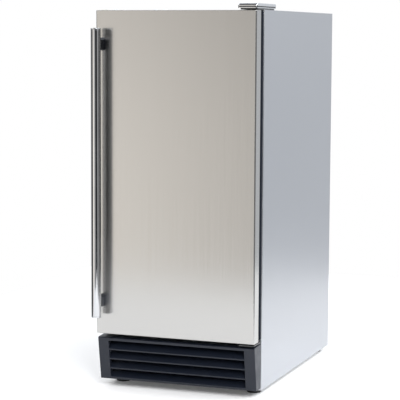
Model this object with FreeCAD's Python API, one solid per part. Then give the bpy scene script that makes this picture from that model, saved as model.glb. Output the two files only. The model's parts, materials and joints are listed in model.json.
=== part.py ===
"""Undercounter ice maker, 15 inch class: one STEP file per sub-part, in millimetres.

Built in the cabinet's own axes: X to the right seen from the front, Y to the rear with 0 at the
cabinet's front edge, Z up from the floor. Every part is moved back by Y_CENTRE when it is written,
so the origin ends up on the floor at the centre of the whole object.
"""

import FreeCAD, Part
import math
import os

V = FreeCAD.Vector

# ---- driving dimensions -------------------------------------------------------------------------
WIDTH = 372.0            # over the side panels
HEIGHT = 845.0           # floor to top panel
DEPTH = 545.0            # side panels, front edge to rear edge
BASE_Z = 12.0            # underside of the cabinet
SHEET = 1.0              # outer sheet metal
FLANGE = 12.0            # folded edges of the outer sheets
HALF = WIDTH / 2

DOOR_FRONT = -54.0       # front face of the door
DOOR_BACK = -24.0        # rear edge of the door's metal skin
DOOR_BOTTOM = 124.0
DOOR_TOP = 844.0
DOOR_INNER = DOOR_BACK + 2.0     # inner face of the door's plastic liner
PLUG_BACK = 4.0          # how far the door liner's raised panel reaches into the cabinet
HINGE_X = 170.0          # hinge axis
HINGE_Y = -36.0
PIN_R = 4.0
RUNNING = 0.05           # radial clearance of a running fit

FRAME_FRONT = -6.0       # front face of the black frame that the gasket closes on
LINER_T = 2.0
BIN_HALF = 141.0         # inside of the bin
BIN_REAR = 500.0
BIN_TOP = 800.0
BIN_FLOOR = 172.0
BIN_STEP_FLOOR = 262.0   # raised floor over the compressor
STEP_START = 266.0
STEP_END = 310.0
FOAM_BOTTOM = 135.0
FOAM_STEP_BOTTOM = 225.0

HANDLE_R = 11.0
HANDLE_X = -173.0
HANDLE_Y = DOOR_FRONT - 31.0
HANDLE_BOTTOM = 165.0
HANDLE_TOP = 805.0
POST_INSET = 35.0        # post centre from the bar's end

COVER_TOP = 860.0        # top of the hinge cover
REAR_COVER_T = 1.0
FITTING_REACH = 14.0     # inlet and drain stand this far out of the rear cover

LEG_X = 158.0
LEG_FRONT_Y = 34.0
LEG_REAR_Y = 514.0
LEG_R = 4.0

FAN_X = 40.0
FAN_Z = 72.0
FAN_R = 49.0

FRONT_MOST = HANDLE_Y - HANDLE_R
REAR_MOST = DEPTH + REAR_COVER_T + FITTING_REACH
Y_CENTRE = (FRONT_MOST + REAR_MOST) / 2

DRAIN_X = -100.0
DRAIN_Y = 215.0
DRAIN_Z = 48.0
INLET_X = -150.0
INLET_Z = 170.0
GLAND_X = -40.0
GLAND_Z = 70.0

GRILLE_HALF = 185.4      # toe grille
GRILLE_LOW = 17.0
GRILLE_TOP = 113.0
GRILLE_LOW_Y = -32.5     # its front leans forward from here
GRILLE_TOP_Y = -48.5     # to here
GRILLE_BACK = -3.5
GRILLE_RAIL = 5.5        # height of its bottom and top rails
GRILLE_SLAT = 3.2
GRILLE_ROWS = 4

GRID_HALF = 78.0         # cube mould
GRID_LOW = 592.0
GRID_CELLS = 6
CELL = 26.0
GRID_FRONT = 420.0
GRID_BACK = 446.0
COIL_Y = GRID_BACK + 4.1
CHEEK = 100.0            # outside of the evaporator housing
CURTAIN_Y = 390.0        # pivot of the water curtain
CURTAIN_Z = 786.0
TUBE_Y = 432.0           # water distributor
TUBE_Z = 776.0
FLOAT_X = -104.0
FLOAT_Y = 374.0
ROCKER_Y = 28.0
ROCKER_Z = 783.0
SCOOP_X = 95.0
SCOOP_Y = 120.0
SCOOP_LOW = 323.0
SCOOP_HIGH = 466.0

COMP_X = 75.0            # compressor
COMP_Y = 425.0
COMP_FOOT_X = 72.0       # its rubber feet, either side of the middle
COMP_FOOT_Y = 62.0


# ---- shape helpers ------------------------------------------------------------------------------
def box(x0, x1, y0, y1, z0, z1):
    return Part.makeBox(x1 - x0, y1 - y0, z1 - z0, V(x0, y0, z0))


def rod(radius, start, end):
    a, b = V(*start), V(*end)
    return Part.makeCylinder(radius, (b - a).Length, a, b - a)


def pipe(outer, inner, start, end):
    return rod(outer, start, end).cut(rod(inner, start, end))


def prism_x(points, x0, x1):
    """A polygon in the YZ plane, extruded along X."""
    corners = [V(x0, y, z) for y, z in points]
    return Part.Face(Part.makePolygon(corners + corners[:1])).extrude(V(x1 - x0, 0, 0))


def prism_z(points, z0, z1):
    """A polygon in the XY plane, extruded along Z."""
    corners = [V(x, y, z0) for x, y in points]
    return Part.Face(Part.makePolygon(corners + corners[:1])).extrude(V(0, 0, z1 - z0))


def revolve_z(points, x, y):
    """A profile of (radius, z) points, turned about the vertical line through x, y."""
    corners = [V(x + r, y, z) for r, z in points]
    face = Part.Face(Part.makePolygon(corners + corners[:1]))
    return face.revolve(V(x, y, 0), V(0, 0, 1), 360)


def fuse(shapes):
    whole = shapes[0]
    if len(shapes) > 1:
        whole = shapes[0].multiFuse(shapes[1:])
    return whole.removeSplitter()


def cut(shape, tools):
    for tool in tools:
        shape = shape.cut(tool)
    return shape


def mirror_x(shape):
    return shape.mirror(V(0, 0, 0), V(1, 0, 0))


def edges_along(shape, axis, keep=lambda middle: True):
    """Straight edges parallel to an axis, whose middle point passes the test."""
    found = []
    for edge in shape.Edges:
        if edge.Curve.TypeId != "Part::GeomLine":
            continue
        a, b = edge.Vertexes[0].Point, edge.Vertexes[-1].Point
        if abs(abs((b - a).normalize().dot(axis)) - 1) < 1e-6 and keep((a + b) * 0.5):
            found.append(edge)
    return found


def bent_tube(points, radius, bend, bore=0.0):
    """A round tube along straight runs joined by tangent arcs of the given bend radius."""
    spots = [V(*p) for p in points]
    edges = []
    here = spots[0]
    for before, corner, after in zip(spots, spots[1:], spots[2:]):
        into = (corner - before).normalize()
        out = (after - corner).normalize()
        half = into.getAngle(out) / 2
        back = bend * math.tan(half)
        start = corner - into * back
        end = corner + out * back
        middle = corner + (out - into).normalize() * (bend / math.cos(half) - bend)
        if (start - here).Length > 1e-6:
            edges.append(Part.LineSegment(here, start).toShape())
        edges.append(Part.Arc(start, middle, end).toShape())
        here = end
    if (spots[-1] - here).Length > 1e-6:
        edges.append(Part.LineSegment(here, spots[-1]).toShape())
    path = Part.Wire(edges)
    first = (spots[1] - spots[0]).normalize()

    def swept(r):
        ring = Part.Wire(Part.Circle(spots[0], first, r).toShape())
        return path.makePipeShell([ring], True, False)

    tube = swept(radius)
    return tube.cut(swept(bore)) if bore else tube


def pan_screw(x, y, z, axis, head_r=4.5, shank_r=2.0, length=10.0):
    """A pan-head screw whose head sits on the point, with its shank going along the axis."""
    along = V(*axis)
    seat = V(x, y, z)
    head = Part.makeCylinder(head_r, 2.4, seat - along * 2.4, along)
    rim = [e for e in head.Edges if e.Curve.TypeId == "Part::GeomCircle"
           and (e.Curve.Center - seat).Length > 1]
    head = head.makeFillet(1.2, rim)
    slot = Part.makeBox(1.2, head_r * 1.3, 1.4)
    slot.translate(V(-0.6, -head_r * 0.65, 0))
    cross = slot.fuse(slot.rotated(V(0, 0, 0), V(0, 0, 1), 90))
    turn = FreeCAD.Rotation(V(0, 0, 1), along)
    cross.Placement = FreeCAD.Placement(seat - along * 2.5, turn)
    return head.cut(cross).fuse(Part.makeCylinder(shank_r, length, seat, along))


def hole_for(x, y, z, axis, radius=2.1, length=40.0):
    """A cutter centred on the point, for a screw or pipe to pass."""
    along = V(*axis)
    return Part.makeCylinder(radius, length, V(x, y, z) - along * (length / 2), along)


# ---- places shared by several parts -------------------------------------------------------------
HINGE_SCREW_SPOTS = [(162.0, 16.0), (162.0, 66.0), (152.0, 41.0)]
PLUG_SPOTS = [(-169.0, 16.0), (-169.0, 66.0), (-72.0, 16.0), (-50.0, 16.0)]
BOTTOM_SCREW_SPOTS = [(153.0, 108.0), (172.0, 108.0)]
REAR_SCREW_SPOTS = [(side * 178.0, z) for side in (-1, 1) for z in (40.0, 128.0, 216.0)]
LEG_SPOTS = [(side * LEG_X, y) for y in (LEG_FRONT_Y, LEG_REAR_Y) for side in (-1, 1)]
POST_SPOTS = [HANDLE_BOTTOM + POST_INSET, HANDLE_TOP - POST_INSET]
GROMMET_SPOTS = [(COMP_X + sx * COMP_FOOT_X, COMP_Y + sy * COMP_FOOT_Y)
                 for sx in (-1, 1) for sy in (-1, 1)]
STUD_SPOTS = [(x, GRID_LOW + CELL * k) for x in (-39.0, 39.0) for k in (1, 5)]


def liner_profile(grow, front=0.0):
    """The bin's side outline in the YZ plane, grown outwards by a wall thickness."""
    slope = math.atan2(BIN_STEP_FLOOR - BIN_FLOOR, STEP_END - STEP_START)
    shift = grow * (1 - math.cos(slope)) / math.sin(slope)
    return [
        (front, BIN_FLOOR - grow),
        (STEP_START + shift, BIN_FLOOR - grow),
        (STEP_END + shift, BIN_STEP_FLOOR - grow),
        (BIN_REAR + grow, BIN_STEP_FLOOR - grow),
        (BIN_REAR + grow, BIN_TOP + grow),
        (front, BIN_TOP + grow),
    ]


def bin_space(grow, front=0.0, corner=16.0):
    """The bin's volume with rounded inner corners, grown outwards by a wall thickness."""
    half = BIN_HALF + grow
    space = prism_x(liner_profile(grow, front), -half, half)
    uprights = edges_along(space, V(0, 0, 1), lambda m: m.y > front + 1)
    runs = edges_along(space, V(0, 1, 0))
    return space.makeFillet(corner + grow, uprights + runs)


# ---- refrigerant, water and drain routes --------------------------------------------------------
SUCTION_ROUTE = [(-80, 496, 605), (-80, 523, 605), (-80, 523, 170), (-30, 470, 118), (4, 440, 118)]
CAPILLARY_ROUTE = [(20, 496, 735), (20, 523, 735), (20, 523, 212), (-40, 512, 205), (-40, 512, 176)]
DISCHARGE_ROUTE = [(40, 371, 118), (40, 330, 118), (-40, 300, 118), (-40, 180, 118),
                   (-160, 120, 108), (-160, 24, 108), (-138, 24, 108)]
LIQUID_ROUTE = [(-138, 44, 36), (-160, 44, 36), (-160, 470, 26), (-40, 512, 26), (-40, 512, 54)]
FILL_ROUTE = [(-120, 498, 196), (-120, 523, 245), (-120, 523, 562), (-108, 478, 562), (-108, 478, 553)]
HOSE_ROUTE = [(121, 418, 555), (121, 418, 730), (121, 432, 776), (101, 432, 776)]
DRAIN_ROUTE = [(DRAIN_X, DRAIN_Y, 131), (DRAIN_X, DRAIN_Y, DRAIN_Z), (DRAIN_X, 520, DRAIN_Z)]


def suction_line():
    return bent_tube(SUCTION_ROUTE, 4.0, 12.0)


def capillary_line():
    return bent_tube(CAPILLARY_ROUTE, 2.0, 10.0)


def fill_hose():
    return bent_tube(FILL_ROUTE, 4.0, 7.0)


# ---- cabinet ------------------------------------------------------------------------------------
def side_panel_right():
    top = HEIGHT - SHEET
    web = box(HALF - SHEET, HALF, 0, DEPTH, BASE_Z, HEIGHT)
    front = box(HALF - FLANGE, HALF - SHEET, 0, SHEET, BASE_Z, top)
    rear = box(HALF - FLANGE, HALF - SHEET, DEPTH - SHEET, DEPTH, BASE_Z, top)
    panel = fuse([web, front, rear])
    corners = edges_along(panel, V(0, 0, 1), lambda m: m.x > HALF - 0.1)
    panel = panel.makeFillet(0.8, corners)
    holes = [hole_for(x, DEPTH, z, (0, 1, 0)) for x, z in REAR_SCREW_SPOTS]
    return cut(panel, holes)


def side_panel_left():
    return mirror_x(side_panel_right())


def top_panel():
    side = HALF - SHEET
    inner = HALF - FLANGE - 0.5
    top = box(-side, side, 0, DEPTH, HEIGHT - SHEET, HEIGHT)
    front = box(-inner, inner, 0, SHEET, HEIGHT - FLANGE, HEIGHT - SHEET)
    rear = box(-inner, inner, DEPTH - SHEET, DEPTH, HEIGHT - FLANGE, HEIGHT - SHEET)
    holes = [hole_for(x, y, HEIGHT, (0, 0, 1)) for x, y in HINGE_SCREW_SPOTS + PLUG_SPOTS]
    return cut(fuse([top, front, rear]), holes)


def top_plugs():
    plugs = []
    for x, y in PLUG_SPOTS:
        head = Part.makeCylinder(5.0, 1.6, V(x, y, HEIGHT))
        crown = [e for e in head.Edges if abs(e.BoundBox.ZMin - HEIGHT - 1.6) < 0.01]
        head = head.makeFillet(0.9, crown)
        plugs.append(head.fuse(Part.makeCylinder(2.0, 6.0, V(x, y, HEIGHT - 6.0))))
    return Part.makeCompound(plugs)


def rear_panel():
    side = HALF - FLANGE - 0.5
    sheet = box(-side, side, DEPTH - SHEET, DEPTH, FOAM_STEP_BOTTOM, HEIGHT - FLANGE - 0.5)
    ribs = []
    for z in range(300, 800, 120):
        ribs.append(box(-130, 130, DEPTH, DEPTH + 0.8, z, z + 14))
    return fuse([sheet] + ribs)


def rear_cover():
    front = DEPTH
    cover = box(-HALF + 2, HALF - 2, front, front + REAR_COVER_T, 26, 228)
    slots = []
    for row in range(9):
        z = 72 + row * 15
        for column in range(4):
            x = -20 + column * 44
            slots.append(box(x, x + 36, front - 1, front + 2, z, z + 6))
    slots.append(hole_for(INLET_X, front, INLET_Z, (0, 1, 0), radius=15.0))
    slots.append(hole_for(DRAIN_X, front, DRAIN_Z, (0, 1, 0), radius=11.0))
    slots.append(hole_for(GLAND_X, front, GLAND_Z, (0, 1, 0), radius=8.0))
    slots += [hole_for(x, front, z, (0, 1, 0)) for x, z in REAR_SCREW_SPOTS]
    return cut(cover, slots)


def cabinet_screws():
    screws = []
    for x, y in HINGE_SCREW_SPOTS:
        screws.append(pan_screw(x, y, HEIGHT + 3.0, (0, 0, -1), length=16.0))
    for x, z in BOTTOM_SCREW_SPOTS:
        screws.append(pan_screw(x, -2.5, z, (0, 1, 0), length=8.0))
    for x, z in REAR_SCREW_SPOTS:
        screws.append(pan_screw(x, DEPTH + REAR_COVER_T, z, (0, -1, 0), length=9.0))
    return Part.makeCompound(screws)


def base_pan():
    side = HALF - SHEET - 0.1
    outer = box(-side, side, 2, DEPTH - 2, BASE_Z, 40)
    inner = box(-side + 1.5, side - 1.5, 3.5, DEPTH - 3.5, BASE_Z + 1.5, 41)
    nuts = [Part.makeCylinder(9.0, 10.0, V(x, y, BASE_Z + 1.0)) for x, y in LEG_SPOTS]
    pan = fuse([outer.cut(inner)] + nuts)
    low_front = box(-150, 150, 1, 5, 24, 41)
    low_rear = box(-190, 190, DEPTH - 6, DEPTH, 24, 41)
    tools = [low_front, low_rear]
    tools += [hole_for(x, y, BASE_Z, (0, 0, 1), radius=LEG_R + RUNNING) for x, y in LEG_SPOTS]
    tools += [hole_for(x, y, BASE_Z, (0, 0, 1), radius=3.1, length=6.0) for x, y in GROMMET_SPOTS]
    return cut(pan, tools)


def leg(x, y):
    """A screw-in levelling foot: a ribbed pad on a threaded stud."""
    pad = revolve_z([(0, 0), (15, 0), (16.5, 1.5), (16.5, 6), (14, 8.5), (0, 8.5)], x, y)
    grips = []
    for k in range(12):
        angle = k * math.pi / 6
        spot = V(x + 17.2 * math.cos(angle), y + 17.2 * math.sin(angle), -1)
        grips.append(Part.makeCylinder(1.8, 12, spot))
    stud = Part.makeCylinder(LEG_R, 40.0, V(x, y, 8.5))
    rings = []
    for k in range(14):
        groove = Part.makeCylinder(5, 1.0, V(x, y, 26 + 1.5 * k))
        rings.append(groove.cut(Part.makeCylinder(LEG_R - 0.5, 1.0, V(x, y, 26 + 1.5 * k))))
    return cut(fuse([pad.cut(Part.makeCompound(grips)), stud]), [Part.makeCompound(rings)])


def front_crossbar():
    inner = HALF - FLANGE - 0.5
    face = box(-inner, inner, 0, 1.2, 100, 148)
    shelf = box(-inner, inner, 1.2, 18, 133.5, 134.7)
    holes = [hole_for(x, 0, z, (0, 1, 0)) for x, z in BOTTOM_SCREW_SPOTS]
    return cut(fuse([face, shelf]), holes)


def front_frame():
    outer = box(-HALF + 1, HALF - 1, FRAME_FRONT, 0, DOOR_BOTTOM + 2, HEIGHT - 2)
    corners = edges_along(outer, V(0, 1, 0))
    outer = outer.makeFillet(3, corners)
    mouth = box(-BIN_HALF + 2, BIN_HALF - 2, -10, 10, BIN_FLOOR + 4, BIN_TOP - 2)
    mouth = mouth.makeFillet(14, edges_along(mouth, V(0, 1, 0)))
    rebate = box(-HALF + 8, HALF - 8, FRAME_FRONT - 1, FRAME_FRONT + 1.2, DOOR_BOTTOM + 8, HEIGHT - 8)
    groove = box(-HALF + 9.5, HALF - 9.5, FRAME_FRONT - 2, FRAME_FRONT + 2, DOOR_BOTTOM + 9.5, HEIGHT - 9.5)
    return cut(outer, [mouth, rebate.cut(groove)])


def cabinet_foam():
    side = HALF - SHEET - 0.02
    outline = [
        (LINER_T, FOAM_BOTTOM),
        (STEP_START + 24, FOAM_BOTTOM),
        (STEP_END + 20, FOAM_STEP_BOTTOM),
        (DEPTH - SHEET, FOAM_STEP_BOTTOM),
        (DEPTH - SHEET, HEIGHT - SHEET),
        (LINER_T, HEIGHT - SHEET),
    ]
    block = prism_x(outline, -side, side)
    holes = [bin_space(LINER_T, front=-5.0)]
    holes += [hole_for(x, y, HEIGHT, (0, 0, 1), radius=2.3) for x, y in HINGE_SCREW_SPOTS + PLUG_SPOTS]
    holes += [box(-HALF, HALF, DEPTH - FLANGE, DEPTH + 1, HEIGHT - FLANGE, HEIGHT - 4)]
    holes += [box(side * 178 - 5, side * 178 + 5, DEPTH - 11, DEPTH, 210, 232) for side in (-1, 1)]
    holes += [Part.makeCylinder(11.5, 60, V(DRAIN_X, DRAIN_Y, 120))]
    holes += [suction_line(), capillary_line(), fill_hose()]
    return cut(block, holes)


def bin_liner():
    outer = bin_space(LINER_T)
    inner = bin_space(0.0, front=-5.0)
    flange = box(-BIN_HALF - 24, BIN_HALF + 24, 0, LINER_T, BIN_FLOOR - 22, BIN_TOP + 20)
    mouth = bin_space(LINER_T, front=-5.0)
    rims = fuse([outer, flange.cut(mouth)]).cut(inner)
    holes = [hole_for(DRAIN_X, DRAIN_Y, BIN_FLOOR, (0, 0, 1), radius=11.0)]
    holes += [hole_for(-80, BIN_REAR, 605, (0, 1, 0), radius=4.5)]
    holes += [hole_for(20, BIN_REAR, 735, (0, 1, 0), radius=2.5)]
    holes += [fill_hose()]
    return cut(rims, holes)


def toe_grille():
    """Wedge-shaped kick grille, deep at the top and shallow at the bottom, with raked louvres."""
    wall = 2.6
    low_z, top_z = GRILLE_LOW, GRILLE_TOP
    low_y, top_y = GRILLE_LOW_Y, GRILLE_TOP_Y
    half = GRILLE_HALF
    outline = [(GRILLE_BACK, low_z), (low_y, low_z), (top_y, top_z), (top_y + 3, top_z + 2),
               (GRILLE_BACK, top_z + 4.5)]
    body = prism_x(outline, -half, half)
    rounded = edges_along(body, V(1, 0, 0), lambda m: m.y < low_y + 1 and m.z < top_z + 1)
    body = body.makeFillet(1.6, rounded)
    inner = [(0, low_z + wall), (low_y + wall, low_z + wall), (top_y + wall + 0.6, top_z),
             (0, top_z + 1.6)]
    body = body.cut(prism_x(inner, -half + wall, half - wall))
    opening = (top_z - low_z - 2 * GRILLE_RAIL - (GRILLE_ROWS - 1) * GRILLE_SLAT) / GRILLE_ROWS
    window = half - 25.0
    lean = (top_y - low_y) / (top_z - low_z)
    blades = []
    for row in range(GRILLE_ROWS):
        z0 = low_z + GRILLE_RAIL + row * (opening + GRILLE_SLAT)
        body = body.cut(box(-window, window, top_y - 5, low_y + 14, z0, z0 + opening))
        front = low_y + lean * (z0 - low_z)
        deep, rise = (24, 16) if row else (18, 12)
        blade = [(front, z0 - GRILLE_SLAT), (front, z0), (front + deep, z0 + rise),
                 (front + deep, z0 + rise - 2.6)]
        blades.append(prism_x(blade, -window - 3, window + 3))
    uprights = []
    for x in (-window - 3, window):
        upright = [(low_y + 6, low_z + 1), (low_y + 9, low_z + 1), (top_y + 9, top_z), (top_y + 6, top_z)]
        uprights.append(prism_x(upright, x, x + 3))
    return fuse([body] + blades + uprights)


def top_hinge_bracket():
    plate = box(146, 184, -49, 80, HEIGHT, HEIGHT + 3)
    plate = plate.makeFillet(7, edges_along(plate, V(0, 0, 1)))
    holes = [hole_for(x, y, HEIGHT, (0, 0, 1)) for x, y in HINGE_SCREW_SPOTS]
    holes.append(hole_for(HINGE_X, HINGE_Y, HEIGHT, (0, 0, 1), radius=PIN_R + 0.02))
    return cut(plate, holes)


def bottom_hinge_bracket():
    plate = box(146, 184, -50, 0, 118.4, 121.4)
    plate = plate.makeFillet(7, edges_along(plate, V(0, 0, 1), lambda m: m.y < -10))
    tab = box(146, 180, -2.5, 0, 100, 118.4)
    holes = [hole_for(x, 0, z, (0, 1, 0)) for x, z in BOTTOM_SCREW_SPOTS]
    holes.append(hole_for(HINGE_X, HINGE_Y, 120, (0, 0, 1), radius=PIN_R + 0.02, length=10))
    return cut(fuse([plate, tab]), holes)


def hinge_pins():
    top = rod(PIN_R, (HINGE_X, HINGE_Y, 826), (HINGE_X, HINGE_Y, HEIGHT + 3))
    top_head = rod(7.0, (HINGE_X, HINGE_Y, HEIGHT + 3), (HINGE_X, HINGE_Y, HEIGHT + 5))
    low = rod(PIN_R, (HINGE_X, HINGE_Y, 118.4), (HINGE_X, HINGE_Y, 142))
    return Part.makeCompound([top.fuse(top_head), low])


def hinge_cover():
    """Bright cap over the top hinge, with a rounded nose and bevelled long edges."""
    x0, x1, y0, y1 = 142.0, HALF, -52.0, 83.0
    bottom = HEIGHT + 3.05
    outer = box(x0, x1, y0, y1, bottom, COVER_TOP)
    outer = outer.makeFillet(4.0, edges_along(outer, V(0, 0, 1)))
    crown = [e for e in outer.Edges if e.BoundBox.ZMin > COVER_TOP - 0.01]
    outer = outer.makeChamfer(2.4, crown)
    inner = box(x0 + 2, x1 - 2, y0 + 2, y1 - 2, bottom - 1, COVER_TOP - 2.6)
    inner = inner.makeFillet(2.5, edges_along(inner, V(0, 0, 1)))
    seam = box(x0 - 1, x1 + 1, y1 - 13, y1 - 12, COVER_TOP - 0.6, COVER_TOP + 1)
    return cut(outer, [inner, seam])


# ---- door ---------------------------------------------------------------------------------------
def door_tools():
    """Bushing holes, on both sides so that the door can be hung from either."""
    tools = []
    for x in (HINGE_X, -HINGE_X):
        tools.append(rod(7.0, (x, HINGE_Y, DOOR_BOTTOM - 5), (x, HINGE_Y, DOOR_BOTTOM + 22)))
        tools.append(rod(7.0, (x, HINGE_Y, DOOR_TOP - 22), (x, HINGE_Y, DOOR_TOP + 5)))
    return tools


def door_skin():
    outer = box(-HALF, HALF, DOOR_FRONT, DOOR_BACK, DOOR_BOTTOM, DOOR_TOP)
    inner = box(-HALF + SHEET, HALF - SHEET, DOOR_FRONT + SHEET, DOOR_BACK - SHEET,
                DOOR_BOTTOM + SHEET, DOOR_TOP - SHEET)
    long_edges = edges_along(outer, V(0, 0, 1), lambda m: m.y < DOOR_FRONT + 1)
    flat_edges = edges_along(outer, V(1, 0, 0), lambda m: m.y < DOOR_FRONT + 1)
    outer = outer.makeFillet(1.8, long_edges + flat_edges)
    lip = box(-HALF + 10, HALF - 10, DOOR_BACK - 3, DOOR_BACK + 1, DOOR_BOTTOM + 10, DOOR_TOP - 10)
    holes = [hole_for(HANDLE_X, DOOR_FRONT, z, (0, 1, 0), radius=2.6, length=8) for z in POST_SPOTS]
    return cut(outer, [inner, lip] + door_tools() + holes)


def door_foam():
    gap = SHEET + 0.02
    slab = box(-HALF + gap, HALF - gap, DOOR_FRONT + gap, DOOR_BACK - gap,
               DOOR_BOTTOM + gap, DOOR_TOP - gap)
    centre = box(-HALF + 10, HALF - 10, DOOR_BACK - gap, DOOR_BACK, DOOR_BOTTOM + 10, DOOR_TOP - 10)
    plug = box(-126, 126, DOOR_BACK, PLUG_BACK - 2, 187, 783)
    screws = [hole_for(HANDLE_X, DOOR_FRONT + 10, z, (0, 1, 0), radius=7.0, length=20)
              for z in POST_SPOTS]
    return cut(fuse([slab, centre, plug]), door_tools() + screws)


def door_liner():
    sheet = box(-HALF + 1.5, HALF - 1.5, DOOR_BACK, DOOR_INNER, DOOR_BOTTOM + 1.5, DOOR_TOP - 1.5)
    raised = box(-128, 128, DOOR_BACK, PLUG_BACK, 185, 785)
    raised = raised.makeFillet(12, edges_along(raised, V(0, 1, 0)))
    rear_rim = [e for e in raised.Edges if e.BoundBox.YMin > PLUG_BACK - 0.01]
    raised = raised.makeFillet(5, rear_rim)
    hollow = box(-126, 126, DOOR_BACK - 1, PLUG_BACK - 2, 187, 783)
    dish = box(-100, 100, PLUG_BACK - 1.2, PLUG_BACK + 1, 215, 755)
    dish = dish.makeFillet(10, edges_along(dish, V(0, 1, 0)))
    return cut(fuse([sheet, raised]), [hollow, dish])


def door_gasket():
    """Magnetic gasket: base strip, bellows and magnet head, in one closed frame."""
    layers = [(DOOR_INNER, -14.0, 172.0, 20.0), (-14.0, -10.6, 168.5, 12.0), (-10.6, -6.4, 172.0, 17.0)]
    rings = []
    for y0, y1, outer, wide in layers:
        rise = 172.0 - outer
        low, high = DOOR_BOTTOM + 14 + rise, DOOR_TOP - 14 - rise
        ring = box(-outer, outer, y0, y1, low, high)
        hole = box(-outer + wide, outer - wide, y0 - 1, y1 + 1, low + wide, high - wide)
        rings.append(ring.cut(hole))
    return fuse(rings)


def door_bushings():
    bushings = []
    for top in (False, True):
        face = DOOR_TOP if top else DOOR_BOTTOM
        out = 1 if top else -1
        lip = 0.6 if top else 2.2
        sleeve = rod(7.0, (HINGE_X, HINGE_Y, face), (HINGE_X, HINGE_Y, face - out * 22))
        collar = rod(10.0, (HINGE_X, HINGE_Y, face), (HINGE_X, HINGE_Y, face + out * lip))
        bore = rod(PIN_R + RUNNING, (HINGE_X, HINGE_Y, face + out * 5),
                   (HINGE_X, HINGE_Y, face - out * 20))
        bushings.append(sleeve.fuse(collar).cut(bore))
    return Part.makeCompound(bushings)


def handle_bar():
    """Tube handle, closed by a flat welded plug at each end."""
    bar = rod(HANDLE_R, (HANDLE_X, HANDLE_Y, HANDLE_BOTTOM), (HANDLE_X, HANDLE_Y, HANDLE_TOP))
    rims = [e for e in bar.Edges if e.Curve.TypeId == "Part::GeomCircle"]
    bar = bar.makeFillet(1.2, rims)
    hollow = rod(HANDLE_R - 1.5, (HANDLE_X, HANDLE_Y, HANDLE_BOTTOM + 3),
                 (HANDLE_X, HANDLE_Y, HANDLE_TOP - 3))
    threads = [hole_for(HANDLE_X, HANDLE_Y + HANDLE_R, z, (0, 1, 0), radius=2.55, length=14)
               for z in POST_SPOTS]
    return cut(bar, [hollow] + threads)


def handle_posts():
    """Upright stand-offs with rounded corners, saddled onto the bar and flat on the door."""
    wide, tall, corner = 16.0, 26.0, 4.0
    posts = []
    for z in POST_SPOTS:
        post = box(HANDLE_X - wide / 2, HANDLE_X + wide / 2, HANDLE_Y, DOOR_FRONT, z - tall / 2, z + tall / 2)
        post = post.makeFillet(corner, edges_along(post, V(0, 1, 0)))
        saddle = rod(HANDLE_R, (HANDLE_X, HANDLE_Y, z - 20), (HANDLE_X, HANDLE_Y, z + 20))
        thread = hole_for(HANDLE_X, DOOR_FRONT, z, (0, 1, 0), radius=2.55, length=60)
        posts.append(cut(post, [saddle, thread]))
    return Part.makeCompound(posts)


def handle_screws():
    screws = []
    for z in POST_SPOTS:
        seat = DOOR_FRONT + SHEET
        screws.append(pan_screw(HANDLE_X, seat, z, (0, -1, 0), head_r=6.0, shank_r=2.5, length=26.0))
    return Part.makeCompound(screws)


# ---- ice-making module --------------------------------------------------------------------------
def evaporator_housing():
    cheek = box(CHEEK - 3, CHEEK, 382, 499.5, 566, 799.5)
    cheek = cheek.makeFillet(14, edges_along(cheek, V(1, 0, 0), lambda m: m.y < 400))
    top = box(-CHEEK + 3, CHEEK - 3, 400, 499.5, 796.5, 799.5)
    back = box(-CHEEK + 3, CHEEK - 3, 496.5, 499.5, 566, 796.5)
    rib = box(-CHEEK + 3, CHEEK - 3, 400, 404, 788, 796.5)
    body = fuse([cheek, mirror_x(cheek), top, back, rib])
    tools = [rod(3 + RUNNING, (-120, CURTAIN_Y, CURTAIN_Z), (120, CURTAIN_Y, CURTAIN_Z))]
    tools.append(rod(8.1, (-120, TUBE_Y, TUBE_Z), (120, TUBE_Y, TUBE_Z)))
    tools += [hole_for(-80, 498, 605, (0, 1, 0), radius=4.5)]
    tools += [hole_for(20, 498, 735, (0, 1, 0), radius=4.5)]
    return cut(body, tools)


def evaporator_grid():
    """Cube mould: an open grid of square cells on a back plate."""
    high = GRID_LOW + GRID_CELLS * CELL
    block = box(-GRID_HALF - 1, GRID_HALF + 1, GRID_FRONT, GRID_BACK, GRID_LOW - 1, high + 1)
    pockets = []
    for column in range(GRID_CELLS):
        for row in range(GRID_CELLS):
            x = -GRID_HALF + column * CELL
            z = GRID_LOW + row * CELL
            pockets.append(box(x + 1, x + CELL - 1, GRID_FRONT - 1, GRID_BACK - 3, z + 1, z + CELL - 1))
    studs = [rod(4, (x, GRID_BACK, z), (x, 496.4, z)) for x, z in STUD_SPOTS]
    return fuse([block.cut(Part.makeCompound(pockets))] + studs)


def evaporator_coil():
    """Serpentine on the back of the mould, from the suction line to the capillary line."""
    reach = 79.0
    first = 605.0
    last = first + (GRID_CELLS - 1) * CELL
    points = [(-80, 496, first), (-80, COIL_Y, first), (reach, COIL_Y, first)]
    for run in range(1, GRID_CELLS):
        z = first + run * CELL
        side = 1 if run % 2 else -1
        points += [(side * reach, COIL_Y, z), (-side * reach, COIL_Y, z)]
    points[-1] = (20, COIL_Y, last)
    return bent_tube(points + [(20, 496, last)], 4.0, CELL / 2)


def water_distributor():
    tube = pipe(8, 6.5, (-94, TUBE_Y, TUBE_Z), (101, TUBE_Y, TUBE_Z))
    cap = rod(8, (-96, TUBE_Y, TUBE_Z), (-94, TUBE_Y, TUBE_Z))
    jets = []
    for k in range(13):
        x = -72 + 12 * k
        jets.append(rod(1.4, (x, TUBE_Y, TUBE_Z - 12), (x, TUBE_Y, TUBE_Z)))
    return cut(tube.fuse(cap), [Part.makeCompound(jets)])


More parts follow.
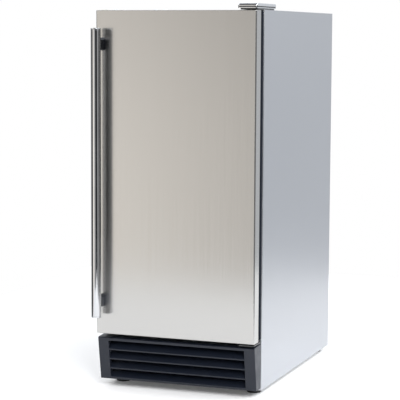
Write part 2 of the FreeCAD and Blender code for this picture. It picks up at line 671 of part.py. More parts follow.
def water_curtain():
    """Hanging flap in front of the mould, on a pivot rod at its top."""
    bar = rod(3, (-99.5, CURTAIN_Y, CURTAIN_Z), (99.5, CURTAIN_Y, CURTAIN_Z))
    sheet = box(-92, 92, 385, 387.5, 582, 782)
    sheet = sheet.makeFillet(8, edges_along(sheet, V(0, 1, 0), lambda m: m.z < 600))
    head = box(-92, 92, 385, 392, 779, 787)
    ribs = [box(x - 1.2, x + 1.2, 387.5, 392, 600, 779) for x in (-70, -35, 0, 35, 70)]
    lip = box(-80, 80, 382.5, 385, 588, 592)
    return fuse([sheet, head, bar, lip] + ribs)


def water_trough():
    outer = box(-118, 138.5, 352, 495, 500, 548)
    outer = outer.makeFillet(6, edges_along(outer, V(0, 0, 1)))
    inner = box(-115.5, 136, 354.5, 492.5, 502.5, 549)
    inner = inner.makeFillet(4, edges_along(inner, V(0, 0, 1)))
    ears = [box(x - 8, x + 8, 495, 499.5, 530, 548) for x in (-90, 0, 90)]
    return fuse([outer.cut(inner)] + ears)


def ice_slide():
    """Sloped louvred plate: ice slides over it, water falls through to the trough."""
    side = 93.0
    plate = prism_x([(352, 548.2), (472, 574), (472, 576.5), (352, 550.7)], -side, side)
    slots = []
    for k in range(13):
        x = -84 + k * 14
        slots.append(box(x - 4, x + 4, 362, 462, 540, 590))
    ribs = [prism_x([(352, 550.7), (472, 576.5), (472, 581), (352, 553.5)], x, x + 2)
            for x in (-side, side - 2)]
    return fuse([plate.cut(Part.makeCompound(slots))] + ribs)


def circulation_pump():
    x, y = 121.0, 444.0
    plate = box(102.5, 138.5, 408, 468, 548, 551)
    motor = revolve_z([(0, 551), (17.5, 551), (17.5, 590), (15, 597), (6, 599), (0, 599)], x, y)
    column = rod(8, (x, y, 512), (x, y, 548))
    volute = rod(13, (x, y, 503.5), (x, y, 513))
    riser = rod(5, (x, 418, 504.5), (x, 418, 555))
    arm = rod(3.5, (x, y, 509), (x, 418, 509))
    return fuse([plate, motor, column, volute, riser, arm])


def pump_hose():
    return bent_tube(HOSE_ROUTE, 6.5, 13.0)


def float_switch():
    bracket = box(-117, -95.5, 360, 388, 548, 550.5)
    stem = rod(2.5, (FLOAT_X, FLOAT_Y, 503), (FLOAT_X, FLOAT_Y, 548))
    stop = rod(4.5, (FLOAT_X, FLOAT_Y, 503), (FLOAT_X, FLOAT_Y, 505))
    connector = box(-110, -98, 368, 380, 550.5, 558)
    return fuse([bracket, stem, stop, connector])


def trough_float():
    ring = revolve_z([(2.8, 505.4), (9, 505.4), (10, 506.4), (10, 523), (9, 524), (2.8, 524)],
                     FLOAT_X, FLOAT_Y)
    return ring


def ice_level_probe():
    plate = box(-141, -138.5, 280, 312, 486, 518)
    plate = plate.makeFillet(5, edges_along(plate, V(1, 0, 0)))
    tube = rod(5, (-138.5, 296, 502), (-62, 296, 502))
    collar = rod(9, (-138.5, 296, 502), (-128, 296, 502))
    return fuse([plate, tube, collar])


def control_housing():
    outline = [(22, 799.8), (22, 774), (32, 764), (74, 764), (74, 799.8)]
    outer = prism_x(outline, -104, 104)
    outer = outer.makeFillet(4, edges_along(outer, V(1, 0, 0), lambda m: m.z < 780 and m.y < 40))
    inside = [(24.5, 801), (24.5, 775), (33, 766.5), (71.5, 766.5), (71.5, 801)]
    shell = outer.cut(prism_x(inside, -101.5, 101.5))
    window = box(-12, 12, 18, 30, ROCKER_Z - 9.4, ROCKER_Z + 9.4)
    bezel = box(-16, 16, 20.5, 22, ROCKER_Z - 13, ROCKER_Z + 13)
    cheeks = [box(s * 14 - 1.5, s * 14 + 1.5, 24.5, 36, ROCKER_Z - 8, ROCKER_Z + 8) for s in (-1, 1)]
    body = fuse([shell, bezel] + cheeks)
    pivots = rod(1.5 + RUNNING, (-20, ROCKER_Y, ROCKER_Z), (20, ROCKER_Y, ROCKER_Z))
    lamp = box(42, 90, 44, 66, 760, 770)
    leds = [rod(2.05, (x, 15, ROCKER_Z), (x, 30, ROCKER_Z)) for x in (-40, -52)]
    return cut(body, [window, pivots, lamp] + leds)


def rocker_switch():
    barrel = rod(8.8, (-11.4, ROCKER_Y, ROCKER_Z), (11.4, ROCKER_Y, ROCKER_Z))
    notch = prism_x([(10, ROCKER_Z - 14), (20.6, ROCKER_Z - 7), (22.6, ROCKER_Z),
                     (19.6, ROCKER_Z + 9), (10, ROCKER_Z + 14)], -20, 20)
    rear = box(-20, 20, ROCKER_Y + 5, ROCKER_Y + 20, ROCKER_Z - 20, ROCKER_Z + 20)
    pivots = rod(1.5, (-15, ROCKER_Y, ROCKER_Z), (15, ROCKER_Y, ROCKER_Z))
    return fuse([cut(barrel, [notch, rear]), pivots])


def lamp_lens():
    lens = box(43, 89, 45, 65, 761.5, 768)
    flange = box(40, 92, 42, 68, 761.5, 763.9)
    lens = fuse([lens, flange])
    return lens.makeFillet(1.0, edges_along(lens, V(0, 0, 1), lambda m: m.z < 763))


def ice_scoop():
    """Half-round scoop standing on its lip, open towards the bin, with a bar grip on top."""
    outer, wall = 38.0, 2.2
    low, high = (SCOOP_X, SCOOP_Y, SCOOP_LOW), (SCOOP_X, SCOOP_Y, SCOOP_HIGH)
    shell = pipe(outer, outer - wall, low, high)
    back = rod(outer, (SCOOP_X, SCOOP_Y, SCOOP_HIGH - wall), high)
    keep = box(SCOOP_X, SCOOP_X + 50, SCOOP_Y - 50, SCOOP_Y + 50, SCOOP_LOW - 1, SCOOP_HIGH + 1)
    bowl = shell.fuse(back).common(keep)
    slant = prism_z([(SCOOP_X - 1, SCOOP_Y - 60), (SCOOP_X + 60, SCOOP_Y - 60),
                     (SCOOP_X + 60, SCOOP_Y + 60), (SCOOP_X - 1, SCOOP_Y + 60)],
                    SCOOP_LOW - 60, SCOOP_LOW)
    slant.rotate(V(SCOOP_X + outer, SCOOP_Y, SCOOP_LOW), V(0, 1, 0), 38)
    bowl = bowl.cut(slant)
    neck = box(SCOOP_X + 6, SCOOP_X + 22, SCOOP_Y - 7, SCOOP_Y + 7, SCOOP_HIGH - 1, SCOOP_HIGH + 18)
    grip = box(SCOOP_X + 4, SCOOP_X + 24, SCOOP_Y - 11, SCOOP_Y + 11, SCOOP_HIGH + 16, SCOOP_HIGH + 110)
    grip = grip.makeFillet(7, edges_along(grip, V(0, 0, 1)))
    hang = hole_for(SCOOP_X + 14, SCOOP_Y, SCOOP_HIGH + 96, (1, 0, 0), radius=4.5)
    return fuse([bowl, neck, grip.cut(hang)])


def scoop_holder():
    outer = box(89, 140.9, 76, 164, 320, 372)
    outer = outer.makeFillet(8, edges_along(outer, V(0, 0, 1), lambda m: m.x < 100))
    inner = box(91.5, 138.4, 78.5, 161.5, 322.5, 373)
    inner = inner.makeFillet(6, edges_along(inner, V(0, 0, 1)))
    drains = [rod(3, (110, y, 318), (110, y, 324)) for y in (95, 120, 145)]
    notch = box(85, 95, 98, 142, 345, 380)
    return cut(outer, [inner, notch] + drains)


def bin_drain():
    disc = Part.makeCylinder(24, 2.4, V(DRAIN_X, DRAIN_Y, BIN_FLOOR))
    slots = []
    for k in range(12):
        slot = box(9, 20, -1.4, 1.4, BIN_FLOOR - 1, BIN_FLOOR + 4)
        slot.rotate(V(0, 0, 0), V(0, 0, 1), 30 * k)
        slot.translate(V(DRAIN_X, DRAIN_Y, 0))
        slots.append(slot)
    spout = pipe(10.5, 8.5, (DRAIN_X, DRAIN_Y, 131), (DRAIN_X, DRAIN_Y, BIN_FLOOR))
    return disc.cut(Part.makeCompound(slots)).fuse(spout)


# ---- machine compartment ------------------------------------------------------------------------
def condenser():
    """Fin pack on two rows of tube, with return bends at the ends."""
    x0, x1 = -132.0, 132.0
    tubes = []
    for y in (24.0, 44.0):
        for k in range(4):
            z = 36 + 24 * k
            tubes.append(rod(4, (x0 - 6, y, z), (x1 + 6, y, z)))
    fins = [box(x, x + 1.0, 14, 54, 21, 123) for x in [x0 + 6 * k for k in range(45)]]
    ends = [box(x - 1.5, x, 12, 56, 15, 125) for x in (x0 - 1, x1 + 3.5)]
    return fuse(tubes + fins + ends)


def fan_shroud():
    outer = box(-134, 136, 56.2, 86, 16, 128)
    inner = box(-132.8, 134.8, 50, 84.8, 17.2, 126.8)
    hood = outer.cut(inner)
    ring = pipe(FAN_R + 5.5, FAN_R + 3, (FAN_X, 78, FAN_Z), (FAN_X, 94, FAN_Z))
    mouth = rod(FAN_R + 3, (FAN_X, 70, FAN_Z), (FAN_X, 100, FAN_Z))
    return fuse([hood, ring]).cut(mouth)


def fan_blade():
    """Five pitched blades on a hub, with the motor's shaft."""
    hub = rod(15, (FAN_X, 80, FAN_Z), (FAN_X, 96, FAN_Z))
    nose = [e for e in hub.Edges if abs(e.BoundBox.YMax - 80) < 0.01]
    hub = hub.makeFillet(3, nose)
    shaft = rod(3, (FAN_X, 95, FAN_Z), (FAN_X, 112, FAN_Z))
    blades = []
    for k in range(5):
        blade = box(12, FAN_R, -13, 13, -0.9, 0.9)
        blade.rotate(V(0, 0, 0), V(1, 0, 0), 32)
        blade = blade.common(pipe(FAN_R, 10, (0, 0, -30), (0, 0, 30)))
        blade.rotate(V(0, 0, 0), V(0, 0, 1), 72 * k)
        blades.append(blade)
    wheel = Part.makeCompound(blades)
    wheel.rotate(V(0, 0, 0), V(1, 0, 0), 90)
    wheel.translate(V(FAN_X, 88, FAN_Z))
    return fuse([hub, shaft] + wheel.Solids)


def fan_motor():
    can = revolve_z([(3.05, 104), (12, 104), (12, 108), (30, 110), (30, 142), (26, 146), (3.05, 146)], 0, 0)
    can.rotate(V(0, 0, 0), V(1, 0, 0), -90)
    can.translate(V(FAN_X, 0, FAN_Z))
    plate = box(FAN_X - 24, FAN_X + 24, 146, 148, BASE_Z + 1.5, 108)
    foot = box(FAN_X - 24, FAN_X + 24, 148, 178, BASE_Z + 1.5, BASE_Z + 3.5)
    return fuse([can, plate, foot])


def compressor():
    """Hermetic compressor: two pressed half shells with a weld bead, on a base plate."""
    profile = [(0, 31), (38, 31), (54, 37), (63, 48), (66, 62), (66, 104), (69, 106), (69, 112),
               (66, 114), (66, 158), (63, 172), (54, 184), (38, 192), (20, 196), (0, 196)]
    shell = revolve_z(profile, COMP_X, COMP_Y)
    plate = box(COMP_X - 84, COMP_X + 84, COMP_Y - 74, COMP_Y + 74, 28, 31)
    plate = plate.makeFillet(14, edges_along(plate, V(0, 0, 1)))
    waist = [box(COMP_X + s * 60 - 24, COMP_X + s * 60 + 24, COMP_Y - 34, COMP_Y + 34, 27, 32)
             for s in (-1, 1)]
    holes = [hole_for(x, y, 30, (0, 0, 1), radius=8.0, length=10) for x, y in GROMMET_SPOTS]
    plate = cut(plate, holes)
    process = rod(3, (COMP_X + 40, COMP_Y + 40, 170), (COMP_X + 40, COMP_Y + 40, 205))
    return fuse([shell, plate, process])


def compressor_mounts():
    """Rubber grommets with their bolts."""
    parts = []
    for x, y in GROMMET_SPOTS:
        rubber = revolve_z([(3.1, 13.5), (12, 13.5), (12, 27.8), (7.8, 27.8), (7.8, 31.2), (11, 31.2),
                            (11, 35), (3.1, 35)], x, y)
        parts.append(rubber)
        shank = rod(3.0, (x, y, 11), (x, y, 38))
        head = rod(6.0, (x, y, 35.1), (x, y, 38.5))
        parts.append(shank.fuse(head))
    return Part.makeCompound(parts)


def terminal_cover():
    cover = box(COMP_X + 52, COMP_X + 84, COMP_Y - 26, COMP_Y + 26, 78, 152)
    cover = cover.makeFillet(5, edges_along(cover, V(0, 0, 1), lambda m: m.x > COMP_X + 80))
    return cover.cut(Part.makeCylinder(69.1, 200, V(COMP_X, COMP_Y, 20)))


def refrigerant_lines():
    """Copper tubing brazed to the evaporator, with the hot-gas valve in the discharge line."""
    lines = [suction_line(), capillary_line(), bent_tube(DISCHARGE_ROUTE, 3.2, 9.0),
             bent_tube(LIQUID_ROUTE, 3.0, 9.0)]
    shell = compressor()
    lines = [line.cut(shell) for line in lines]
    return Part.makeCompound(lines + [evaporator_coil(), hot_gas_valve()])


def filter_drier():
    return revolve_z([(0, 55), (4, 55), (10, 66), (10, 164), (4, 175), (0, 175)], -40, 512)


def hot_gas_valve():
    body = box(-66, -40, 250, 274, 100, 124).cut(rod(3.3, (-40, 180, 118), (-40, 300, 118)))
    coil = rod(13, (-53, 262, 60), (-53, 262, 98))
    neck = rod(6, (-53, 262, 98), (-53, 262, 100))
    return fuse([body, coil, neck])


def water_inlet_valve():
    x, z = INLET_X, INLET_Z
    body = box(x - 18, x + 18, 486, 528, z - 16, z + 16)
    body = body.makeFillet(5, edges_along(body, V(0, 1, 0)))
    coil = box(x - 15, x + 15, 490, 520, z - 52, z - 16)
    flange = rod(20, (x, 528, z), (x, DEPTH - 1.2, z))
    boss = rod(13.2, (x, DEPTH - 1.2, z), (x, REAR_MOST, z))
    bore = rod(9, (x, 540, z), (x, REAR_MOST + 1, z))
    outlet = rod(4.5, (-132, 498, 176), (-120, 498, 176))
    elbow = rod(5.5, (-120, 498, 170), (-120, 498, 196))
    return fuse([body, coil, flange, boss, outlet, elbow]).cut(bore)


def drain_hose():
    return bent_tube(DRAIN_ROUTE, 9.5, 34.0, bore=7.5)


def drain_spigot():
    flange = rod(17, (DRAIN_X, 536, DRAIN_Z), (DRAIN_X, DEPTH - 1.2, DRAIN_Z))
    body = rod(9.5, (DRAIN_X, 520, DRAIN_Z), (DRAIN_X, REAR_MOST, DRAIN_Z))
    bore = rod(7.5, (DRAIN_X, 510, DRAIN_Z), (DRAIN_X, REAR_MOST + 1, DRAIN_Z))
    return fuse([flange, body]).cut(bore)


def cord_gland():
    y = DEPTH + REAR_COVER_T
    nut = rod(12, (GLAND_X, y, GLAND_Z), (GLAND_X, y + 5, GLAND_Z))
    neck = rod(7.9, (GLAND_X, DEPTH - 8, GLAND_Z), (GLAND_X, y + 8, GLAND_Z))
    hole = rod(4, (GLAND_X, DEPTH - 10, GLAND_Z), (GLAND_X, y + 10, GLAND_Z))
    return fuse([nut, neck]).cut(hole)


def control_box():
    """Closed sheet-metal case for the control electronics, with a lid lip and cable notches."""
    outer = box(-176, -62, 330, 440, 66, 150)
    lid = box(-178, -60, 328, 442, 140, 152)
    hollow = box(-174, -64, 332, 438, 68, 150)
    notches = [box(-63, -55, y, y + 14, 100, 114) for y in (350, 380, 410)]
    return cut(fuse([outer, lid]), [hollow] + notches)


def leg_maker(x, y):
    return lambda: leg(x, y)


LEG_NAMES = ("leg_front_left", "leg_front_right", "leg_rear_left", "leg_rear_right")

NODES = {
    "side_panel_left": side_panel_left,
    "side_panel_right": side_panel_right,
    "top_panel": top_panel,
    "top_plugs": top_plugs,
    "rear_panel": rear_panel,
    "rear_cover": rear_cover,
    "cabinet_screws": cabinet_screws,
    "base_pan": base_pan,
    "front_crossbar": front_crossbar,
    "front_frame": front_frame,
    "cabinet_foam": cabinet_foam,
    "bin_liner": bin_liner,
    "toe_grille": toe_grille,
    "top_hinge_bracket": top_hinge_bracket,
    "bottom_hinge_bracket": bottom_hinge_bracket,
    "hinge_pins": hinge_pins,
    "hinge_cover": hinge_cover,
    "door_skin": door_skin,
    "door_foam": door_foam,
    "door_liner": door_liner,
    "door_gasket": door_gasket,
    "door_bushings": door_bushings,
    "handle_bar": handle_bar,
    "handle_posts": handle_posts,
    "handle_screws": handle_screws,
    "evaporator_housing": evaporator_housing,
    "evaporator_grid": evaporator_grid,
    "water_distributor": water_distributor,
    "water_curtain": water_curtain,
    "water_trough": water_trough,
    "ice_slide": ice_slide,
    "circulation_pump": circulation_pump,
    "pump_hose": pump_hose,
    "float_switch": float_switch,
    "trough_float": trough_float,
    "ice_level_probe": ice_level_probe,
    "control_housing": control_housing,
    "rocker_switch": rocker_switch,
    "lamp_lens": lamp_lens,
    "ice_scoop": ice_scoop,
    "scoop_holder": scoop_holder,
    "bin_drain": bin_drain,
    "condenser": condenser,
    "fan_shroud": fan_shroud,
    "fan_blade": fan_blade,
    "fan_motor": fan_motor,
    "compressor": compressor,
    "compressor_mounts": compressor_mounts,
    "terminal_cover": terminal_cover,
    "refrigerant_lines": refrigerant_lines,
    "filter_drier": filter_drier,
    "water_inlet_valve": water_inlet_valve,
    "drain_hose": drain_hose,
    "drain_spigot": drain_spigot,
    "cord_gland": cord_gland,
    "control_box": control_box,
}
NODES.update({name: leg_maker(*spot) for name, spot in zip(LEG_NAMES, LEG_SPOTS)})


def main():
    os.makedirs("parts", exist_ok=True)
    for name, make in NODES.items():
        shape = make().copy()
        shape.translate(V(0, -Y_CENTRE, 0))
        if not shape.isValid() or shape.Volume <= 0 or not shape.Solids:
            print("PROBLEM", name, shape.isValid(), shape.Volume, len(shape.Solids))
        shape.exportStep(f"parts/{name}.step")


main()
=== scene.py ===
"""Undercounter ice maker, 15 inch class: the finish of every part, around its packed CAD frame.

Lengths are metres in the frame's own axes: X to the right seen from the front, Y to the rear, Z up,
with the origin on the floor at the centre of the object. Places are worked out from the CAD boxes.
Each operator makes one group of pieces, and main() calls them in order.
"""

import json
import math

import bmesh
import bpy
from bpy.props import FloatProperty, FloatVectorProperty, IntProperty, PointerProperty
from mathutils import Matrix, Vector


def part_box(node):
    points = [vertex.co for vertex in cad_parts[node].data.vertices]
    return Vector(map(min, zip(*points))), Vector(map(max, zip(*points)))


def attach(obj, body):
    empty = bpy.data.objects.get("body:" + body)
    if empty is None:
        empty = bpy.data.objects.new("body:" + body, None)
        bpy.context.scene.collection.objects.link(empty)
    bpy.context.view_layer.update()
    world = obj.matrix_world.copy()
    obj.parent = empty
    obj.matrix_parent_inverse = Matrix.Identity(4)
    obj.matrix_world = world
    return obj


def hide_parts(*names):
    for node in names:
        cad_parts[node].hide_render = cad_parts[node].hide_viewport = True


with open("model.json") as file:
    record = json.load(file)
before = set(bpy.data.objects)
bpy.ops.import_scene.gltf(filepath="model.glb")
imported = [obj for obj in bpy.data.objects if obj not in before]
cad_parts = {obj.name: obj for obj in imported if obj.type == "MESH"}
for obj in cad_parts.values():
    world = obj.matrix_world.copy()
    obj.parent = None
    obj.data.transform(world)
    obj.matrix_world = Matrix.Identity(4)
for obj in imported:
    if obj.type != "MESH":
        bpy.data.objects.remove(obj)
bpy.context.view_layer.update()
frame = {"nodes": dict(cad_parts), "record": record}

bl_info = {
    "name": "Undercounter Ice Maker",
    "version": (1, 0, 0),
    "blender": (4, 5, 0),
    "location": "View3D > Sidebar > Ice Maker",
    "description": "Builds the visible parts of an undercounter ice maker around its CAD frame",
    "category": "Object",
}

MM = 0.001
BODY_OF = {
    node: body
    for body, nodes in frame["record"]["behaviour"]["bodies"].items()
    for node in nodes
}


def srgb(code):
    """A six-digit hex colour as linear red, green, blue and alpha."""
    shares = [int(code[k:k + 2], 16) / 255 for k in (0, 2, 4)]
    return tuple(s / 12.92 if s <= 0.04045 else ((s + 0.055) / 1.055) ** 2.4 for s in shares) + (1.0,)


# ---- settings a user would change ---------------------------------------------------------------
class ICEMAKER_PG_sizes(bpy.types.PropertyGroup):
    """Sizes of the details that are added around the CAD frame."""

    door_edge: FloatProperty(
        name="Door edge radius", description="Rolled front edge of the door's skin",
        default=3.0 * MM, min=0.5 * MM, unit="LENGTH")
    sheet: FloatProperty(
        name="Sheet thickness", description="Thickness of the folded outer sheets",
        default=1.0 * MM, min=0.4 * MM, unit="LENGTH")
    slat_rows: IntProperty(
        name="Grille rows", description="Rows of openings in the toe grille", default=4, min=2)
    slat: FloatProperty(
        name="Slat thickness", description="Height of a grille slat's front edge",
        default=3.2 * MM, unit="LENGTH")
    fin_pitch: FloatProperty(
        name="Fin pitch", description="Distance between condenser fins",
        default=2.6 * MM, min=1.0 * MM, unit="LENGTH")
    mould_cells: IntProperty(
        name="Mould cells", description="Ice cells along each side of the mould", default=6, min=2)
    thread_pitch: FloatProperty(
        name="Foot thread pitch", description="Pitch of the levelling feet's thread",
        default=1.5 * MM, unit="LENGTH")
    fan_blades: IntProperty(
        name="Fan blades", description="Blades of the condenser fan", default=5, min=3)


class ICEMAKER_PG_colours(bpy.types.PropertyGroup):
    """Base colours of the main finishes."""

    door_steel: FloatVectorProperty(
        name="Door steel", description="Brushed stainless steel of the door",
        subtype="COLOR", size=4, default=srgb("B9B8B6"))
    side_steel: FloatVectorProperty(
        name="Side steel", description="Cooler satin steel of the sides and top",
        subtype="COLOR", size=4, default=srgb("C2C4C8"))
    black_parts: FloatVectorProperty(
        name="Black plastic", description="Toe grille and front frame",
        subtype="COLOR", size=4, default=srgb("171C27"))
    liner: FloatVectorProperty(
        name="Liner", description="White plastic inside the bin and the door",
        subtype="COLOR", size=4, default=srgb("E6E9EB"))
    scoop: FloatVectorProperty(
        name="Scoop", description="Blue plastic of the ice scoop",
        subtype="COLOR", size=4, default=srgb("4F79A8"))


# ---- node trees ---------------------------------------------------------------------------------
def add_node(tree, kind, inputs=None, **settings):
    """Adds a node: settings are its properties; an input takes a value or another node's socket."""
    node = tree.nodes.new(kind)
    for name, value in settings.items():
        setattr(node, name, value)
    for name, value in (inputs or {}).items():
        if isinstance(value, bpy.types.NodeSocket):
            tree.links.new(value, node.inputs[name])
        else:
            node.inputs[name].default_value = value
    return node


# ---- materials ----------------------------------------------------------------------------------
def surface_of(name, colour, roughness, metallic=0.0, **shader):
    """A material with one shader, as its tree and shader; keywords name sockets, with _ for a space."""
    material = bpy.data.materials.new(name)
    material.use_nodes = True
    tree = material.node_tree
    tree.nodes.clear()
    sockets = {key.replace("_", " "): value for key, value in shader.items()}
    sockets.update({"Base Color": colour, "Roughness": roughness, "Metallic": metallic})
    shader_node = add_node(tree, "ShaderNodeBsdfPrincipled", sockets)
    add_node(tree, "ShaderNodeOutputMaterial", {"Surface": shader_node.outputs["BSDF"]})
    material.diffuse_color = colour
    return tree, shader_node


def grain(tree, size, detail=2.0, shift=0.0, kind="ShaderNodeTexNoise", output=0, **settings):
    """A pattern whose grains measure size millimetres along X, Y and Z; returns its socket."""
    place = add_node(tree, "ShaderNodeTexCoord")
    scaled = add_node(tree, "ShaderNodeMapping", {
        "Vector": place.outputs["Object"],
        "Location": (shift, shift, shift),
        "Scale": [1 / (s * MM) for s in size],
    })
    inputs = {"Vector": scaled.outputs["Vector"], "Scale": 1.0, "Detail": detail}
    return add_node(tree, kind, inputs, **settings).outputs[output]


def paint(tree, shader, factor, dark, light, low=0.3, high=0.7):
    """Colours the surface between two tones as the factor goes from low to high."""
    share = add_node(tree, "ShaderNodeMapRange", {"Value": factor, "From Min": low, "From Max": high})
    mixed = add_node(tree, "ShaderNodeMix", {0: share.outputs[0], 6: dark, 7: light}, data_type="RGBA")
    tree.links.new(mixed.outputs[2], shader.inputs["Base Color"])


def polish(tree, shader, factor, smoothest, roughest, low=0.3, high=0.7):
    """Varies the surface's roughness as the factor goes from low to high."""
    span = add_node(tree, "ShaderNodeMapRange", {
        "Value": factor, "From Min": low, "From Max": high, "To Min": smoothest, "To Max": roughest})
    tree.links.new(span.outputs[0], shader.inputs["Roughness"])


def relief(tree, shader, factor, depth, strength=1.0):
    """Raises the surface by the factor, over a depth in millimetres."""
    bump = add_node(tree, "ShaderNodeBump", {
        "Height": factor, "Distance": depth * MM, "Strength": strength})
    tree.links.new(bump.outputs["Normal"], shader.inputs["Normal"])


def shade(colour, share):
    """A linear colour made darker or lighter by a share."""
    return tuple(min(1.0, c * share) for c in colour[:3]) + (1.0,)


def brushed_stainless_steel(name):
    """Type 304 sheet, belt-brushed upright: fine vertical lines that smear reflections sideways."""
    base = bpy.context.scene.icemaker_colours.door_steel
    tree, shader = surface_of(name, base, 0.19, metallic=1.0, Anisotropic=0.3)
    # the grit's lines are 0.1 mm wide, drawn 1.4 mm wide so that they show
    lines = grain(tree, (1.4, 1.4, 240.0), detail=3.0)
    paint(tree, shader, lines, shade(base, 0.98), shade(base, 1.015))
    polish(tree, shader, lines, 0.175, 0.21)
    relief(tree, shader, grain(tree, (0.7, 0.7, 90.0), detail=2.0, shift=3.0), 0.012)


def satin_steel(name):
    """Stainless cladding with a short satin grain: even, cool grey, with soft broad reflections."""
    base = bpy.context.scene.icemaker_colours.side_steel
    tree, shader = surface_of(name, base, 0.36, metallic=1.0, Anisotropic=0.35)
    # the satin lines are 0.08 mm wide, drawn 1.8 mm wide so that they show
    lines = grain(tree, (1.8, 1.8, 120.0), detail=3.0, shift=11.0)
    paint(tree, shader, lines, shade(base, 0.975), shade(base, 1.015))
    polish(tree, shader, lines, 0.34, 0.40)
    relief(tree, shader, grain(tree, (90.0, 90.0, 120.0), detail=1.0, shift=5.0), 0.25, 0.4)


def hot_dip_galvanised_steel(name):
    """Zinc-coated sheet: 9 mm spangles of slightly different greys, dulled by a thin chalky film."""
    tree, shader = surface_of(name, srgb("A4A8AA"), 0.42, metallic=1.0)
    crystals = grain(tree, (9.0, 9.0, 9.0), kind="ShaderNodeTexVoronoi", output=1)
    tone = add_node(tree, "ShaderNodeSeparateColor", {"Color": crystals}).outputs[0]
    paint(tree, shader, tone, srgb("9CA0A3"), srgb("B0B4B6"), 0.0, 1.0)
    polish(tree, shader, tone, 0.40, 0.48, 0.0, 1.0)


def bright_zinc_plate(name):
    """Zinc-plated mild steel: bluish silver with faint yellow passivation and a slightly grained face."""
    tree, shader = surface_of(name, srgb("B4B6B4"), 0.3, metallic=1.0)
    clouds = grain(tree, (5.0, 5.0, 5.0))
    paint(tree, shader, clouds, srgb("A9A892"), srgb("B9BEC4"))
    polish(tree, shader, grain(tree, (0.8, 0.8, 0.8), shift=2.0), 0.24, 0.38)


def polished_chrome(name):
    """Decorative chromium over polished steel: a near mirror, hazed a little by fine wiping marks."""
    tree, shader = surface_of(name, srgb("C3C4C6"), 0.07, metallic=1.0)
    wipes = grain(tree, (14.0, 14.0, 40.0), detail=4.0)
    paint(tree, shader, wipes, srgb("BFC0C2"), srgb("C7C8CA"))
    polish(tree, shader, wipes, 0.045, 0.10)


def bright_nickel_chrome(name):
    """Zinc casting under bright nickel and chromium: whiter than plated tube, a clean mirror."""
    tree, shader = surface_of(name, srgb("E0E1E3"), 0.10, metallic=1.0)
    wipes = grain(tree, (9.0, 9.0, 9.0), detail=3.0, shift=6.0)
    paint(tree, shader, wipes, srgb("DCDDDF"), srgb("E4E5E7"))
    polish(tree, shader, wipes, 0.08, 0.13)


def black_nickel_plate(name):
    """Black nickel over cast zinc: a dark, faintly blue mirror with soft highlights."""
    tree, shader = surface_of(name, srgb("3A3E48"), 0.16, metallic=1.0)
    clouds = grain(tree, (6.0, 6.0, 6.0), shift=8.0)
    paint(tree, shader, clouds, srgb("363A44"), srgb("40444E"))
    polish(tree, shader, clouds, 0.13, 0.2)


def moulded_black_abs(name):
    """Injection-moulded ABS with a fine spark-eroded grain: deep blue-black, softly shiny."""
    base = bpy.context.scene.icemaker_colours.black_parts
    tree, shader = surface_of(name, base, 0.42, IOR=1.45)
    sparks = grain(tree, (0.9, 0.9, 0.9), detail=3.0)
    paint(tree, shader, sparks, shade(base, 0.86), shade(base, 1.12))
    polish(tree, shader, grain(tree, (25.0, 25.0, 25.0), shift=7.0), 0.33, 0.44)
    relief(tree, shader, sparks, 0.04, 0.5)


def extruded_magnetic_pvc(name):
    """Soft grey-black PVC gasket, extruded: matt, with faint lines along its run."""
    tree, shader = surface_of(name, srgb("1A1B1E"), 0.6, IOR=1.52)
    dust = grain(tree, (3.0, 3.0, 3.0), detail=3.0)
    paint(tree, shader, dust, srgb("151618"), srgb("222327"))
    relief(tree, shader, grain(tree, (0.6, 0.6, 0.6), shift=4.0), 0.05, 0.5)


def vacuum_formed_polystyrene(name):
    """White high-impact polystyrene sheet, vacuum formed: gentle waviness and a fine orange peel."""
    base = bpy.context.scene.icemaker_colours.liner
    tree, shader = surface_of(name, base, 0.34, IOR=1.59, Subsurface_Weight=0.06)
    waves = grain(tree, (55.0, 55.0, 55.0), detail=1.0)
    paint(tree, shader, waves, shade(base, 0.955), shade(base, 1.01))
    polish(tree, shader, waves, 0.29, 0.40)
    relief(tree, shader, grain(tree, (1.3, 1.3, 1.3), shift=9.0), 0.03, 0.35)


def blown_polyurethane_foam(name):
    """Rigid polyurethane foam: straw-coloured, with 1.5 mm cells and a skin that darkens in patches."""
    tree, shader = surface_of(name, srgb("DCC98F"), 0.92)
    paint(tree, shader, grain(tree, (30.0, 30.0, 30.0), detail=4.0), srgb("C9B377"), srgb("E8DAA8"))
    cells = grain(tree, (1.5, 1.5, 1.5), kind="ShaderNodeTexVoronoi")
    relief(tree, shader, cells, 0.8, 0.7)


def moulded_nylon(name):
    """Natural nylon 6: waxy off-white that lets a little light in."""
    tree, shader = surface_of(name, srgb("DAD5C6"), 0.45, IOR=1.53, Subsurface_Weight=0.12)
    paint(tree, shader, grain(tree, (4.0, 4.0, 4.0)), srgb("D0CAB9"), srgb("E2DED1"))


def hot_tinned_copper(name):
    """Copper mould dipped in tin: silvery, with soft mottling where the tin ran and set."""
    tree, shader = surface_of(name, srgb("C6C3BC"), 0.26, metallic=1.0)
    runs = grain(tree, (7.0, 7.0, 14.0), detail=3.0)
    paint(tree, shader, runs, srgb("B3ABA0"), srgb("D2D0CB"))
    polish(tree, shader, runs, 0.18, 0.36)
    relief(tree, shader, runs, 0.15, 0.4)


def drawn_copper(name):
    """Soft drawn copper tube: salmon metal with brown oxide clouds left by brazing and handling."""
    tree, shader = surface_of(name, srgb("B87550"), 0.28, metallic=1.0)
    clouds = grain(tree, (14.0, 14.0, 14.0), detail=4.0)
    paint(tree, shader, clouds, srgb("87513A"), srgb("C98A66"))
    polish(tree, shader, clouds, 0.42, 0.22)


